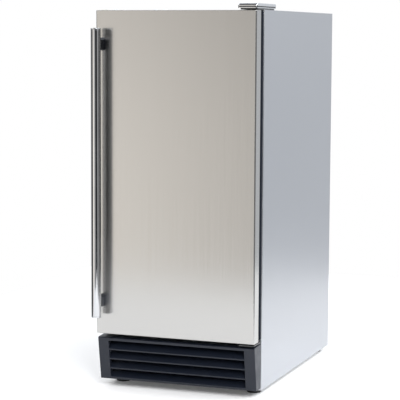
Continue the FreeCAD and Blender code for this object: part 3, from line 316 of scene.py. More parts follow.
def clear_polycarbonate(name):
    """Moulded polycarbonate: clear with a faint blue cast and slight surface haze."""
    tree, shader = surface_of(name, srgb("EFF6F9"), 0.05, IOR=1.585, Transmission_Weight=1.0)
    haze = grain(tree, (20.0, 20.0, 20.0), detail=3.0)
    polish(tree, shader, haze, 0.03, 0.12)
    relief(tree, shader, haze, 0.08, 0.3)


def moulded_blue_polypropylene(name):
    """Polypropylene with blue masterbatch: slightly cloudy colour and a satin face."""
    base = bpy.context.scene.icemaker_colours.scoop
    tree, shader = surface_of(name, base, 0.36, IOR=1.49, Subsurface_Weight=0.08)
    flow = grain(tree, (18.0, 18.0, 40.0))
    paint(tree, shader, flow, shade(base, 0.9), shade(base, 1.08))
    polish(tree, shader, grain(tree, (1.0, 1.0, 1.0), shift=6.0), 0.3, 0.42)


def moulded_grey_abs(name):
    """Mid-grey ABS with a light spark grain: matt housings of pump, switches and controls."""
    tree, shader = surface_of(name, srgb("85888C"), 0.45, IOR=1.53)
    sparks = grain(tree, (1.0, 1.0, 1.0), detail=3.0)
    paint(tree, shader, sparks, srgb("7B7E82"), srgb("8E9195"))
    relief(tree, shader, sparks, 0.04, 0.5)


def polished_black_abs(name):
    """Mirror-moulded black ABS of the rocker: glossy, with faint finger haze."""
    tree, shader = surface_of(name, srgb("16171A"), 0.2, IOR=1.53)
    haze = grain(tree, (6.0, 6.0, 6.0), detail=3.0)
    paint(tree, shader, haze, srgb("131416"), srgb("1C1E21"))
    polish(tree, shader, haze, 0.14, 0.30)


def extruded_silicone(name):
    """Translucent platinum-cured silicone tube: milky, with a slight tack that dulls its shine."""
    tree, shader = surface_of(name, srgb("DEDCD4"), 0.4, IOR=1.43, Transmission_Weight=0.35)
    paint(tree, shader, grain(tree, (9.0, 9.0, 9.0)), srgb("D3D0C6"), srgb("E8E6DF"))
    polish(tree, shader, grain(tree, (2.0, 2.0, 2.0), shift=8.0), 0.34, 0.5)


def rolled_aluminium(name):
    """Mill-finish aluminium foil and pressings: pale grey, with drawn lines and a trace of dust."""
    tree, shader = surface_of(name, srgb("C4C6C8"), 0.34, metallic=1.0)
    lines = grain(tree, (2.0, 30.0, 2.0), detail=3.0)
    paint(tree, shader, lines, srgb("B3B5B6"), srgb("CFD1D3"))
    polish(tree, shader, lines, 0.28, 0.44)


def lacquered_motor_steel(name):
    """Rolled motor can under thin dark lacquer: charcoal with metal showing in patches."""
    tree, shader = surface_of(name, srgb("4A4C4F"), 0.42, metallic=0.6)
    patches = grain(tree, (8.0, 8.0, 8.0), detail=4.0)
    paint(tree, shader, patches, srgb("3D3F42"), srgb("5A5D60"))
    polish(tree, shader, patches, 0.36, 0.5)


def black_stoved_enamel(name):
    """Stoved black enamel on pressed steel: glossy with a broad orange peel."""
    tree, shader = surface_of(name, srgb("17181A"), 0.26, IOR=1.5, Coat_Weight=0.3, Coat_Roughness=0.12)
    peel = grain(tree, (3.0, 3.0, 3.0), detail=1.0)
    paint(tree, shader, grain(tree, (22.0, 22.0, 22.0), shift=4.0), srgb("131415"), srgb("202224"))
    relief(tree, shader, peel, 0.08, 0.4)


def moulded_epdm(name):
    """Moulded EPDM rubber: dull black with a grey bloom."""
    tree, shader = surface_of(name, srgb("1E1F20"), 0.75, IOR=1.5)
    bloom = grain(tree, (6.0, 6.0, 6.0), detail=4.0)
    paint(tree, shader, bloom, srgb("191A1B"), srgb("2C2D2E"))
    relief(tree, shader, grain(tree, (0.7, 0.7, 0.7), shift=2.0), 0.05, 0.5)


def glass_filled_nylon(name):
    """Glass-filled nylon valve body: ivory with short fibre mottling, fairly matt."""
    tree, shader = surface_of(name, srgb("D2CFC1"), 0.5, IOR=1.53)
    fibres = grain(tree, (0.7, 3.0, 0.7), detail=3.0)
    paint(tree, shader, fibres, srgb("C6C2B2"), srgb("DCD9CD"))
    relief(tree, shader, fibres, 0.03, 0.5)


def moulded_black_nylon(name):
    """Moulded black nylon: matt, with a slightly scuffed, greyer skin."""
    tree, shader = surface_of(name, srgb("1A1B1C"), 0.55, IOR=1.53)
    scuffs = grain(tree, (3.0, 3.0, 1.0), detail=4.0)
    paint(tree, shader, scuffs, srgb("151617"), srgb("292A2C"), 0.4, 0.75)
    relief(tree, shader, scuffs, 0.05, 0.4)


def tinted_led_lens(name):
    """Indicator lens cast in green-dyed epoxy: part clear, with a soft, even colour."""
    tree, shader = surface_of(name, srgb("5FA56B"), 0.25, IOR=1.55, Transmission_Weight=0.5)
    paint(tree, shader, grain(tree, (1.5, 1.5, 1.5)), srgb("4D9159"), srgb("74B67E"))


FINISHES = {
    "brushed_stainless": brushed_stainless_steel,
    "silver_sheet": satin_steel,
    "galvanised_sheet": hot_dip_galvanised_steel,
    "zinc_screws": bright_zinc_plate,
    "chrome_trim": polished_chrome,
    "black_plastic": moulded_black_abs,
    "gasket_rubber": extruded_magnetic_pvc,
    "liner_plastic": vacuum_formed_polystyrene,
    "insulating_foam": blown_polyurethane_foam,
    "nylon_bushing": moulded_nylon,
    "tinned_copper": hot_tinned_copper,
    "copper_tube": drawn_copper,
    "clear_plastic": clear_polycarbonate,
    "blue_plastic": moulded_blue_polypropylene,
    "grey_plastic": moulded_grey_abs,
    "switch_plastic": polished_black_abs,
    "silicone_hose": extruded_silicone,
    "fin_aluminium": rolled_aluminium,
    "motor_steel": lacquered_motor_steel,
    "compressor_enamel": black_stoved_enamel,
    "hinge_enamel": black_stoved_enamel,
    "mount_rubber": moulded_epdm,
    "valve_body": glass_filled_nylon,
    "leg_plastic": moulded_black_nylon,
}


def material_named(maker):
    """The material that a maker function builds, built once."""
    if maker.__name__ not in bpy.data.materials:
        maker(maker.__name__)
    return bpy.data.materials[maker.__name__]


# ---- outlines -----------------------------------------------------------------------------------
def arc(centre, radius, start, end, steps=6):
    """Points on a circle between two angles in degrees, both ends included."""
    turns = [math.radians(start + (end - start) * k / steps) for k in range(steps + 1)]
    return [(centre[0] + radius * math.cos(t), centre[1] + radius * math.sin(t)) for t in turns]


def round_rect(u0, u1, v0, v1, radius, steps=5):
    """A rectangle with rounded corners, as a ring of points."""
    r = radius
    return (arc((u1 - r, v1 - r), r, 0, 90, steps) + arc((u0 + r, v1 - r), r, 90, 180, steps)
            + arc((u0 + r, v0 + r), r, 180, 270, steps) + arc((u1 - r, v0 + r), r, 270, 360, steps))


def rolled_corner(points, corner, radius, steps=5):
    """The same outline with one corner rounded by an arc."""
    here = Vector(points[corner])
    before = (Vector(points[corner - 1]) - here).normalized()
    after = (Vector(points[(corner + 1) % len(points)]) - here).normalized()
    half = before.angle(after) / 2
    centre = here + (before + after).normalized() * (radius / math.sin(half))
    first = here + before * (radius / math.tan(half)) - centre
    last = here + after * (radius / math.tan(half)) - centre
    turned = [centre + first.lerp(last, k / steps).normalized() * radius for k in range(steps + 1)]
    return points[:corner] + [tuple(p) for p in turned] + points[corner + 1:]


def folded_strip(points, thickness):
    """The outline of a sheet folded along an open line of points, thickened to its left."""
    line = [Vector(p) for p in points]
    other = []
    for k, here in enumerate(line):
        before = (here - line[k - 1]).normalized() if k else (line[1] - here).normalized()
        after = (line[k + 1] - here).normalized() if k + 1 < len(line) else before
        side = Vector((-before.y - after.y, before.x + after.x)).normalized()
        other.append(here + side * (thickness / max(0.3, side.dot(Vector((-before.y, before.x))))))
    return [tuple(p) for p in line] + [tuple(p) for p in reversed(other)]


# ---- meshes -------------------------------------------------------------------------------------
def applied(piece):
    """The piece with its modifiers made part of a plain mesh."""
    depsgraph = bpy.context.evaluated_depsgraph_get()
    mesh = bpy.data.meshes.new_from_object(piece.evaluated_get(depsgraph))
    piece.modifiers.clear()
    piece.data = mesh
    mesh.name = piece.name
    return piece


def dressed(piece, sharp=38.0):
    """Smooth shading that keeps flat faces flat and edges over the given angle crisp."""
    piece.data.shade_smooth()
    piece.data.set_sharp_from_angle(angle=math.radians(sharp))
    weighted = piece.modifiers.new("Even shading", "WEIGHTED_NORMAL")
    weighted.keep_sharp = True
    return applied(piece)


def as_piece(name, bm, outward=True):
    """A linked object from an edit mesh, welded, with its faces pointing outwards."""
    bmesh.ops.remove_doubles(bm, verts=bm.verts, dist=1e-7)
    if outward:
        bmesh.ops.recalc_face_normals(bm, faces=bm.faces)
    mesh = bpy.data.meshes.new(name)
    bm.to_mesh(mesh)
    bm.free()
    piece = bpy.data.objects.new(name, mesh)
    bpy.context.scene.collection.objects.link(piece)
    return piece


def add_skin(bm, rings, closed=False):
    """Adds a closed skin through rings of equal length: its ends are capped, or joined into a loop."""
    rows = [[bm.verts.new(point) for point in ring] for ring in rings]
    following = rows[1:] + rows[:1] if closed else rows[1:]
    for near, far in zip(rows, following):
        for k in range(len(near)):
            bm.faces.new((near[k - 1], near[k], far[k], far[k - 1]))
    if not closed:
        bm.faces.new(rows[0])
        bm.faces.new(rows[-1])


def skin(name, rings, closed=False):
    """A closed mesh through rings of equal length."""
    bm = bmesh.new()
    add_skin(bm, rings, closed)
    return as_piece(name, bm)


def along(axis, place, u, v):
    """A point at a place along an axis, with u and v on the other two axes in order."""
    point = [u, v]
    point.insert("XYZ".index(axis), place)
    return tuple(point)


def prism(name, outline, axis, start, end):
    """An outline across an axis, extruded from start to end."""
    return skin(name, [[along(axis, place, u, v) for u, v in outline] for place in (start, end)])


def stack(name, axis, layers):
    """A solid through (place, outline) layers along an axis."""
    return skin(name, [[along(axis, place, u, v) for u, v in outline] for place, outline in layers])


def add_lathe(bm, profile, centre, axis="Z", sides=48, wave=None):
    """Adds a solid turned about an axis; profile is (radius, place) points, and wave scales by angle."""
    u, v = centre
    rings = []
    for radius, place in profile:
        ring = []
        for k in range(sides):
            angle = 2 * math.pi * k / sides
            reach = radius * (wave(angle) if wave else 1.0)
            ring.append(along(axis, place, u + reach * math.cos(angle), v + reach * math.sin(angle)))
        rings.append(ring)
    add_skin(bm, rings)


def lathe(name, profile, centre, axis="Z", sides=48, wave=None):
    """A solid turned about an axis."""
    bm = bmesh.new()
    add_lathe(bm, profile, centre, axis, sides, wave)
    return as_piece(name, bm)


def softened(piece, width, segments=3, angle=32.0):
    """The piece with its edges rounded by a width in millimetres."""
    bevel = piece.modifiers.new("Edge rounding", "BEVEL")
    bevel.width = width * MM
    bevel.segments = segments
    bevel.limit_method = "ANGLE"
    bevel.angle_limit = math.radians(angle)
    bevel.use_clamp_overlap = False
    return applied(piece)


def carved(piece, cutter):
    """The piece less the cutter, which is removed."""
    boolean = piece.modifiers.new("Cut", "BOOLEAN")
    boolean.operation = "DIFFERENCE"
    boolean.solver = "EXACT"
    boolean.object = cutter
    applied(piece)
    bpy.data.objects.remove(cutter)
    return piece


def joined(name, pieces):
    """One object from several, which are removed."""
    bm = bmesh.new()
    for piece in pieces:
        bm.from_mesh(piece.data)
        bpy.data.objects.remove(piece)
    return as_piece(name, bm, outward=False)


def welded_copy(node):
    """A copy of a CAD node's mesh with its triangles welded and merged into whole faces."""
    bm = bmesh.new()
    bm.from_mesh(frame["nodes"][node].data)
    bmesh.ops.remove_doubles(bm, verts=bm.verts, dist=2e-6)
    bmesh.ops.dissolve_limit(bm, angle_limit=math.radians(0.6), verts=bm.verts, edges=bm.edges)
    return as_piece(node + "_body", bm, outward=False)


def solids_of(node):
    """The boxes of the separate solids in a CAD node, as (low corner, high corner)."""
    bm = bmesh.new()
    bm.from_mesh(frame["nodes"][node].data)
    bmesh.ops.remove_doubles(bm, verts=bm.verts, dist=2e-6)
    boxes = []
    left = set(bm.verts)
    while left:
        found = {left.pop()}
        edge = list(found)
        while edge:
            near = {e.other_vert(v) for v in edge for e in v.link_edges} - found
            found |= near
            edge = list(near)
        left -= found
        low = Vector([min(v.co[k] for v in found) for k in range(3)])
        high = Vector([max(v.co[k] for v in found) for k in range(3)])
        boxes.append((low, high))
    bm.free()
    return sorted(boxes, key=lambda b: tuple(b[0]))


def settle(piece, slot, *replaced, body=None, material=None):
    """Gives a finished piece its material and slot, and lets it ride and stand for its CAD nodes."""
    if slot:
        piece.data.materials.clear()
        piece.data.materials.append(material or material_named(FINISHES[slot]))
    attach(piece, body or BODY_OF[replaced[0]])
    if replaced:
        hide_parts(*replaced)
    return piece


def refined(node, slot, rounding=0.0, sharp=38.0):
    """A CAD node's own shape with smooth curves and softened edges, in its finish."""
    piece = welded_copy(node)
    if rounding:
        softened(piece, rounding)
    return settle(dressed(piece, sharp), slot, node)


# ---- Geometry Nodes -----------------------------------------------------------------------------
def geometry_tree(name, sockets):
    """An empty Geometry Nodes tree with named inputs; returns the tree and its group input."""
    tree = bpy.data.node_groups.new(name, "GeometryNodeTree")
    tree.interface.new_socket("Geometry", in_out="INPUT", socket_type="NodeSocketGeometry")
    for label, kind in sockets:
        tree.interface.new_socket(label, in_out="INPUT", socket_type="NodeSocket" + kind)
    tree.interface.new_socket("Geometry", in_out="OUTPUT", socket_type="NodeSocketGeometry")
    return tree, add_node(tree, "NodeGroupInput").outputs


def end_tree(tree, geometry, material):
    """Ends a tree: real geometry instead of instances, with its material set."""
    real = add_node(tree, "GeometryNodeRealizeInstances", {"Geometry": geometry})
    painted = add_node(tree, "GeometryNodeSetMaterial", {
        "Geometry": real.outputs[0], "Material": material})
    add_node(tree, "NodeGroupOutput", {0: painted.outputs[0]})
    return tree


def grid_tree():
    """Copies of a piece in columns and rows."""
    tree, given = geometry_tree("Copies in a grid", [
        ("Piece", "Object"), ("Columns", "Int"), ("Rows", "Int"), ("First", "Vector"),
        ("Column step", "Vector"), ("Row step", "Vector"), ("Material", "Material")])
    columns = add_node(tree, "GeometryNodeMeshLine", {
        "Count": given["Columns"], "Start Location": given["First"], "Offset": given["Column step"]})
    rows = add_node(tree, "GeometryNodeMeshLine", {"Count": given["Rows"], "Offset": given["Row step"]})
    spots = add_node(tree, "GeometryNodeInstanceOnPoints", {
        "Points": columns.outputs[0], "Instance": rows.outputs[0]})
    flat = add_node(tree, "GeometryNodeRealizeInstances", {"Geometry": spots.outputs[0]})
    piece = add_node(tree, "GeometryNodeObjectInfo", {"Object": given["Piece"]})
    copies = add_node(tree, "GeometryNodeInstanceOnPoints", {
        "Points": flat.outputs[0], "Instance": piece.outputs["Geometry"]})
    return end_tree(tree, copies.outputs[0], given["Material"])


def ring_tree():
    """Copies of a piece turned about the Y axis, moved to a centre."""
    tree, given = geometry_tree("Copies in a ring", [
        ("Piece", "Object"), ("Count", "Int"), ("Centre", "Vector"), ("Material", "Material")])
    spots = add_node(tree, "GeometryNodeMeshLine", {"Count": given["Count"], "Offset": (0, 0, 0)})
    share = add_node(tree, "ShaderNodeMath", {
        0: add_node(tree, "GeometryNodeInputIndex").outputs[0], 1: given["Count"]}, operation="DIVIDE")
    turn = add_node(tree, "ShaderNodeMath", {0: share.outputs[0], 1: 2 * math.pi}, operation="MULTIPLY")
    angles = add_node(tree, "ShaderNodeCombineXYZ", {"Y": turn.outputs[0]})
    piece = add_node(tree, "GeometryNodeObjectInfo", {"Object": given["Piece"]})
    copies = add_node(tree, "GeometryNodeInstanceOnPoints", {
        "Points": spots.outputs[0], "Instance": piece.outputs["Geometry"], "Rotation": angles.outputs[0]})
    moved = add_node(tree, "GeometryNodeTransform", {
        "Geometry": copies.outputs[0], "Translation": given["Centre"]})
    return end_tree(tree, moved.outputs[0], given["Material"])


def scatter_tree():
    """A copy of a piece on each point of the mesh, its Z axis turned to the point's facing."""
    tree, given = geometry_tree("Copies at points", [("Piece", "Object"), ("Material", "Material")])
    facing = add_node(tree, "GeometryNodeInputNamedAttribute", {"Name": "facing"},
                      data_type="FLOAT_VECTOR")
    turned = add_node(tree, "FunctionNodeAlignRotationToVector", {"Vector": facing.outputs[0]}, axis="Z")
    piece = add_node(tree, "GeometryNodeObjectInfo", {"Object": given["Piece"]})
    copies = add_node(tree, "GeometryNodeInstanceOnPoints", {
        "Points": given["Geometry"], "Instance": piece.outputs["Geometry"],
        "Rotation": turned.outputs[0]})
    return end_tree(tree, copies.outputs[0], given["Material"])


def thread_tree():
    """A screw thread: a small ridge swept along a helix."""
    tree, given = geometry_tree("Screw thread", [
        ("Radius", "Float"), ("Pitch", "Float"), ("Turns", "Float"), ("Ridge", "Float"),
        ("Start", "Vector"), ("Material", "Material")])
    height = add_node(tree, "ShaderNodeMath", {0: given["Pitch"], 1: given["Turns"]}, operation="MULTIPLY")
    helix = add_node(tree, "GeometryNodeCurveSpiral", {
        "Resolution": 20, "Rotations": given["Turns"], "Start Radius": given["Radius"],
        "End Radius": given["Radius"], "Height": height.outputs[0]})
    ridge = add_node(tree, "GeometryNodeCurvePrimitiveCircle", {"Resolution": 4, "Radius": given["Ridge"]})
    swept = add_node(tree, "GeometryNodeCurveToMesh", {
        "Curve": helix.outputs[0], "Profile Curve": ridge.outputs[0], "Fill Caps": True})
    moved = add_node(tree, "GeometryNodeTransform", {
        "Geometry": swept.outputs[0], "Translation": given["Start"]})
    return end_tree(tree, moved.outputs[0], given["Material"])


def grown(name, maker, slot, points=(), facings=(), **values):
    """A plain mesh grown by a node tree; values go to its inputs, with _ for a space."""
    label = maker.__doc__
    tree = next((t for t in bpy.data.node_groups if t.get("made_by") == label), None)
    if tree is None:
        tree = maker()
        tree["made_by"] = label
    mesh = bpy.data.meshes.new(name)
    mesh.from_pydata([tuple(p) for p in points], [], [])
    if facings:
        attribute = mesh.attributes.new("facing", "FLOAT_VECTOR", "POINT")
        attribute.data.foreach_set("vector", [c for f in facings for c in f])
    piece = bpy.data.objects.new(name, mesh)
    bpy.context.scene.collection.objects.link(piece)
    modifier = piece.modifiers.new(name, "NODES")
    modifier.node_group = tree
    values["Material"] = material_named(FINISHES[slot])
    for item in tree.interface.items_tree:
        if item.in_out == "INPUT" and item.name.replace(" ", "_") in values:
            modifier[item.identifier] = values[item.name.replace(" ", "_")]
    applied(piece)
    source = values.get("Piece")
    if source:
        bpy.data.objects.remove(source)
    return piece


# ---- door ---------------------------------------------------------------------------------------
def door_pan(sizes):
    """The door's folded skin: flat front, rolled sides, tighter folds above and below, a lip behind."""
    low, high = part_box("door_skin")
    corner = 1.2 * MM
    lip = 10 * MM
    roll = sizes.door_edge
    tighter = 0.4    # the top and bottom folds' inset, as a share of the side rolls'
    layers = []

    def layer(inset, depth, fold=None):
        fold = inset if fold is None else fold
        outline = round_rect(low.x + inset, high.x - inset, low.z + fold, high.z - fold, corner)
        layers.append((low.y + depth, outline))

    for step in range(7):
        turn = math.radians(15 * step)
        inset = roll * (1 - math.sin(turn))
        layer(inset, roll * (1 - math.cos(turn)), tighter * inset)
    thick = high.y - low.y
    layer(0, thick - 0.6 * MM)
    layer(0.5 * MM, thick)
    layer(lip, thick)
    layer(lip, thick - sizes.sheet)
    layer(sizes.sheet, thick - sizes.sheet)
    layer(sizes.sheet, sizes.sheet)
    settle(dressed(stack("door_pan", "Y", layers)), "brushed_stainless", "door_skin")
    pin_low, pin_high = solids_of("door_bushings")[0]
    spot_x = -(pin_low.x + pin_high.x) / 2
    spot_y = (pin_low.y + pin_high.y) / 2
    cap = lathe("cap", [(0, -4 * MM), (6.6 * MM, -4 * MM), (6.6 * MM, 0), (8.5 * MM, 0),
                        (8.5 * MM, 0.7 * MM), (7.6 * MM, 1.2 * MM), (0, 1.3 * MM)], (0, 0), sides=32)
    plugs = grown("door_hole_plugs", scatter_tree, "nylon_bushing", Piece=cap,
                  points=[(spot_x, spot_y, high.z), (spot_x, spot_y, low.z)],
                  facings=[(0, 0, 1), (0, 0, -1)])
    settle(dressed(plugs), "nylon_bushing", body="door")


def door_inner():
    """The door's inner liner: a flange, a raised panel with a deep draft and a shallow dish in it."""
    low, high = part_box("door_liner")
    skin_low, skin_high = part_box("door_skin")
    face = skin_high.y + 2 * MM
    side = 128 * MM
    panel_low = skin_low.z + 61 * MM
    panel_high = skin_high.z - 59 * MM
    layers = []

    def layer(inset_x, inset_z, depth, radius):
        outline = round_rect(-side + inset_x, side - inset_x, panel_low + inset_z,
                             panel_high - inset_z, radius * MM, 8)
        layers.append((depth, outline))

    flange = side + low.x
    back = low.y
    layer(10 * MM, 10 * MM, back, 8)
    layer(flange, low.z - panel_low, back, 3)
    layer(flange, low.z - panel_low, face, 3)
    layer(-4 * MM, -4 * MM, face, 16)
    layer(-1.2 * MM, -1.2 * MM, face + 1.2 * MM, 14)
    layer(0.4 * MM, 0.4 * MM, high.y - 6 * MM, 12)
    for step in range(5):
        turn = math.radians(22.5 * step)
        layer((1 + 5 * (1 - math.cos(turn))) * MM, (1 + 5 * (1 - math.cos(turn))) * MM,
              high.y - 5 * MM * (1 - math.sin(turn)), 12)
    layer(25 * MM, 27 * MM, high.y, 12)
    layer(27 * MM, 29 * MM, high.y - 0.6 * MM, 10)
    layer(29 * MM, 31 * MM, high.y - 1.2 * MM, 9)
    settle(dressed(stack("door_inner", "Y", layers), 50), "liner_plastic", "door_liner")


def door_filling():
    """The door's foam, drawn in where it fills the raised panel, to stay behind its round corners."""
    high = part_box("door_foam")[1]
    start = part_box("door_skin")[1].y + 0.5 * MM
    side, foot, top = 120 * MM, 193 * MM, 777 * MM
    trim = 24 * MM
    outer = round_rect(-side - trim, side + trim, foot - trim, top + trim, 4 * MM)
    inner = round_rect(-side, side, foot, top, 8 * MM)
    ring = prism("ring", outer, "Y", start, high.y + 1 * MM)
    carved(ring, prism("core", inner, "Y", start - 1 * MM, high.y + 2 * MM))
    foam = welded_copy("door_foam")
    carved(foam, ring)
    settle(dressed(foam), "insulating_foam", "door_foam")


def door_seal():
    """The magnetic gasket: dart base, folded bellows and magnet pocket, mitred round the door."""
    low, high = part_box("door_gasket")
    deep = high.y - low.y
    section = [(0.0, 0.0), (0.0, 0.22), (2.2, 0.30), (4.6, 0.40), (4.6, 0.50), (1.4, 0.60), (0.0, 0.70),
               (0.0, 0.93), (0.8, 1.0), (15.5, 1.0), (16.5, 0.93), (16.5, 0.70), (15.0, 0.62),
               (9.0, 0.56), (9.0, 0.46), (16.0, 0.34), (19.0, 0.26), (19.0, 0.0)]
    rings = []
    for inset, share in section:
        outline = round_rect(low.x + inset * MM, high.x - inset * MM, low.z + inset * MM,
                             high.z - inset * MM, 0.5 * MM, 2)
        rings.append([(u, low.y + deep * share, v) for u, v in outline])
    settle(dressed(skin("door_seal", rings, closed=True)), "gasket_rubber", "door_gasket")


def handle():
    """The tube handle with its end plugs, its dark upright posts and the screws behind them."""
    low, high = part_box("handle_bar")
    radius = (high.x - low.x) / 2
    centre = ((low.x + high.x) / 2, (low.y + high.y) / 2)
    tip = 1.4 * MM
    end = [(radius - tip * (1 - math.sin(math.radians(a))), tip * (1 - math.cos(math.radians(a))))
           for a in (0, 22.5, 45, 67.5, 90)]
    groove = [(radius, 4.0 * MM), (radius - 0.35 * MM, 4.25 * MM), (radius, 4.5 * MM)]
    profile = [(0, low.z)] + [(r, low.z + z) for r, z in end + groove]
    profile += [(r, high.z - z) for r, z in reversed(end + groove)] + [(0, high.z)]
    bar = lathe("handle_tube", profile, centre, sides=96)
    settle(dressed(bar, 30), "chrome_trim", "handle_bar")
    posts = []
    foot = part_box("door_skin")[0].y
    for post_low, post_high in solids_of("handle_posts"):
        outline_at = []
        for depth, grow in ((centre[1], 0.0), (foot - 2.2 * MM, 0.0), (foot - 2.0 * MM, 1.0 * MM),
                            (foot - 0.5 * MM, 1.0 * MM), (foot, 0.7 * MM)):
            outline = round_rect(post_low.x - grow, post_high.x + grow, post_low.z - grow,
                                 post_high.z + grow, 4 * MM + grow, 8)
            outline_at.append((depth, outline))
        posts.append(stack("post", "Y", outline_at))
    # the posts' dark plating is a painted reflection of the dark surroundings that their chrome would
    # mirror
    settle(dressed(joined("handle_stand_offs", posts), 30), "chrome_trim", "handle_posts",
           material=material_named(black_nickel_plate))
    refined("handle_screws", "zinc_screws")


# ---- cabinet ------------------------------------------------------------------------------------
def side_sheet(name, node, sizes):
    """A side panel: one sheet folded inwards along its front and rear edges."""
    low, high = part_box(node)
    right = high.x > 0
    face = high.x if right else low.x
    turn = -1 if right else 1
    fold = (high.x - low.x) * turn
    line = [(face + fold, low.y), (face, low.y), (face, high.y), (face + fold, high.y)]
    for corner in (2, 1):
        line = rolled_corner(line, corner, 1.6 * MM)
    outline = folded_strip(line, sizes.sheet * (1 if right else -1))
    panel = softened(prism(name, outline, "Z", low.z, high.z), 0.2)
    settle(dressed(panel), "silver_sheet", node)


def cabinet_sheets(sizes):
    """The folded outer sheets: sides, top, back, machine cover and base."""
    side_sheet("left_side", "side_panel_left", sizes)
    side_sheet("right_side", "side_panel_right", sizes)
    refined("top_panel", "silver_sheet", 0.35)
    refined("rear_panel", "galvanised_sheet", 0.3)
    refined("base_pan", "galvanised_sheet", 0.3)
    refined("front_crossbar", "galvanised_sheet", 0.25)
    refined("rear_cover", "galvanised_sheet", 0.2)
    refined("front_frame", "black_plastic", 0.6)
    refined("cabinet_foam", "insulating_foam")


def rear_louvres():
    """Pressed louvre hoods over the ventilation slots of the machine cover."""
    low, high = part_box("rear_cover")
    cover_x = (low.x + high.x) / 2
    slot = 36 * MM
    deep = 2.6 * MM
    tall = 7.5 * MM
    rings = []
    for step in range(13):
        share = -1 + step / 6
        swell = max(0.04, 1 - abs(share) ** 6)
        across = [(deep * swell * math.sin(t), tall * (0.5 + 0.5 * swell * math.cos(t)))
                  for t in [math.pi * k / 8 for k in range(9)]]
        rings.append([(slot * 0.56 * share, y, z) for y, z in across])
    hood = skin("hood", rings)
    first = (cover_x - 2 * MM, high.y, low.z + 49.5 * MM)
    hoods = grown("rear_louvres", grid_tree, "galvanised_sheet", Piece=hood, Columns=4, Rows=9,
                  First=first, Column_step=(44 * MM, 0, 0), Row_step=(0, 0, 15 * MM))
    settle(dressed(hoods, 50), "galvanised_sheet", body="cabinet")


def screw_head():
    """A pan head with a cross recess, standing on its seat with its shank below."""
    radius = 4.4 * MM
    crown = [(radius * math.cos(math.radians(a)), 0.9 * MM + 1.5 * MM * math.sin(math.radians(a)))
             for a in (0, 20, 40, 60, 80)]
    profile = [(0, -7 * MM), (1.9 * MM, -7 * MM), (1.9 * MM, 0), (radius, 0)] + crown + [(0, 2.42 * MM)]
    head = lathe("head", profile, (0, 0), sides=24)
    wide, reach, top = 0.55 * MM, 2.3 * MM, 4 * MM
    cross = [(wide, wide), (wide, reach), (-wide, reach), (-wide, wide), (-reach, wide),
             (-reach, -wide), (-wide, -wide), (-wide, -reach), (wide, -reach), (wide, -wide),
             (reach, -wide), (reach, wide)]
    return carved(head, prism("cross", cross, "Z", 1.0 * MM, top))


def fasteners():
    """Screws of the hinges and machine cover, and the plugs in the top's spare holes."""
    seats, facings = [], []
    for low, high in solids_of("cabinet_screws"):
        size = high - low
        middle = (low + high) / 2
        if size.z > max(size.x, size.y):
            seats.append((middle.x, middle.y, high.z - 2.4 * MM))
            facings.append((0, 0, 1))
        elif middle.y > 0:
            seats.append((middle.x, high.y - 2.4 * MM, middle.z))
            facings.append((0, 1, 0))
        else:
            seats.append((middle.x, low.y + 2.4 * MM, middle.z))
            facings.append((0, -1, 0))
    screws = grown("cabinet_screw_set", scatter_tree, "zinc_screws", Piece=screw_head(),
                   points=seats, facings=facings)
    settle(dressed(screws), "zinc_screws", "cabinet_screws")
    profile = [(0, -5 * MM), (1.9 * MM, -5 * MM), (1.9 * MM, 0), (5 * MM, 0), (5 * MM, 0.7 * MM),
               (4.6 * MM, 1.2 * MM), (3.6 * MM, 1.5 * MM), (0, 1.6 * MM)]
    spots = [((low.x + high.x) / 2, (low.y + high.y) / 2, high.z - 1.6 * MM)
             for low, high in solids_of("top_plugs")]
    plugs = grown("top_hole_plugs", scatter_tree, "liner_plastic", Piece=lathe("plug", profile, (0, 0),
                  sides=32), points=spots, facings=[(0, 0, 1)] * len(spots))
    settle(dressed(plugs), "liner_plastic", "top_plugs")


def hinges():
    """Dark hinge brackets, pins and bushings, and the bright cap with a dark ring in its groove."""
    refined("top_hinge_bracket", "hinge_enamel", 0.4)
    refined("bottom_hinge_bracket", "hinge_enamel", 0.4)
    refined("hinge_pins", "zinc_screws", 0.3)
    settle(dressed(softened(welded_copy("door_bushings"), 0.3)), "nylon_bushing", "door_bushings",
           material=material_named(moulded_black_nylon))
    low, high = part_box("hinge_cover")
    tall = high.z - low.z - 1.4 * MM
    layers = []
    for share, nose, side in ((0.0, 0.0, 0.0), (0.19, 0.0, 0.0), (0.23, 2.2, 0.9), (0.37, 2.2, 0.9),
                              (0.41, 0.0, 0.0), (0.58, 0.0, 0.0), (0.64, 0.3, 0.0), (0.86, 3.0, 0.0),
                              (0.94, 4.2, 0.5), (1.0, 5.4, 1.3)):
        outline = round_rect(low.x + side * MM, high.x - side * MM, low.y + nose * MM,
                             high.y - side * MM, 4 * MM, 8)
        layers.append((low.z + tall * share, outline))
    cover = stack("hinge_cap", "Z", layers)
    inside = round_rect(low.x + 2 * MM, high.x - 2 * MM, low.y + 8 * MM, high.y - 2 * MM, 3 * MM)
    carved(cover, prism("hollow", inside, "Z", low.z - 1 * MM, high.z - 4.4 * MM))
    settle(dressed(softened(cover, 0.15, 2, 50), 30), "chrome_trim", "hinge_cover",
           material=material_named(bright_nickel_chrome))
    # a dark rubber ring set into the cap's groove: painted shade that stands for the groove's shadow line
    groove = (low.z + tall * 0.22, low.z + tall * 0.38)
    sunk = 0.5 * MM
    band = round_rect(low.x + sunk, high.x - sunk, low.y + 0.6 * MM, high.y - sunk, 4 * MM, 8)
    ring = prism("cap_seam", band, "Z", *groove)
    sunk = 1.6 * MM
    core = round_rect(low.x + sunk, high.x - sunk, low.y + 3 * MM, high.y - sunk, 3 * MM)
    carved(ring, prism("core", core, "Z", low.z - 1 * MM, high.z))
    settle(dressed(ring, 30), "mount_rubber", body="cabinet")


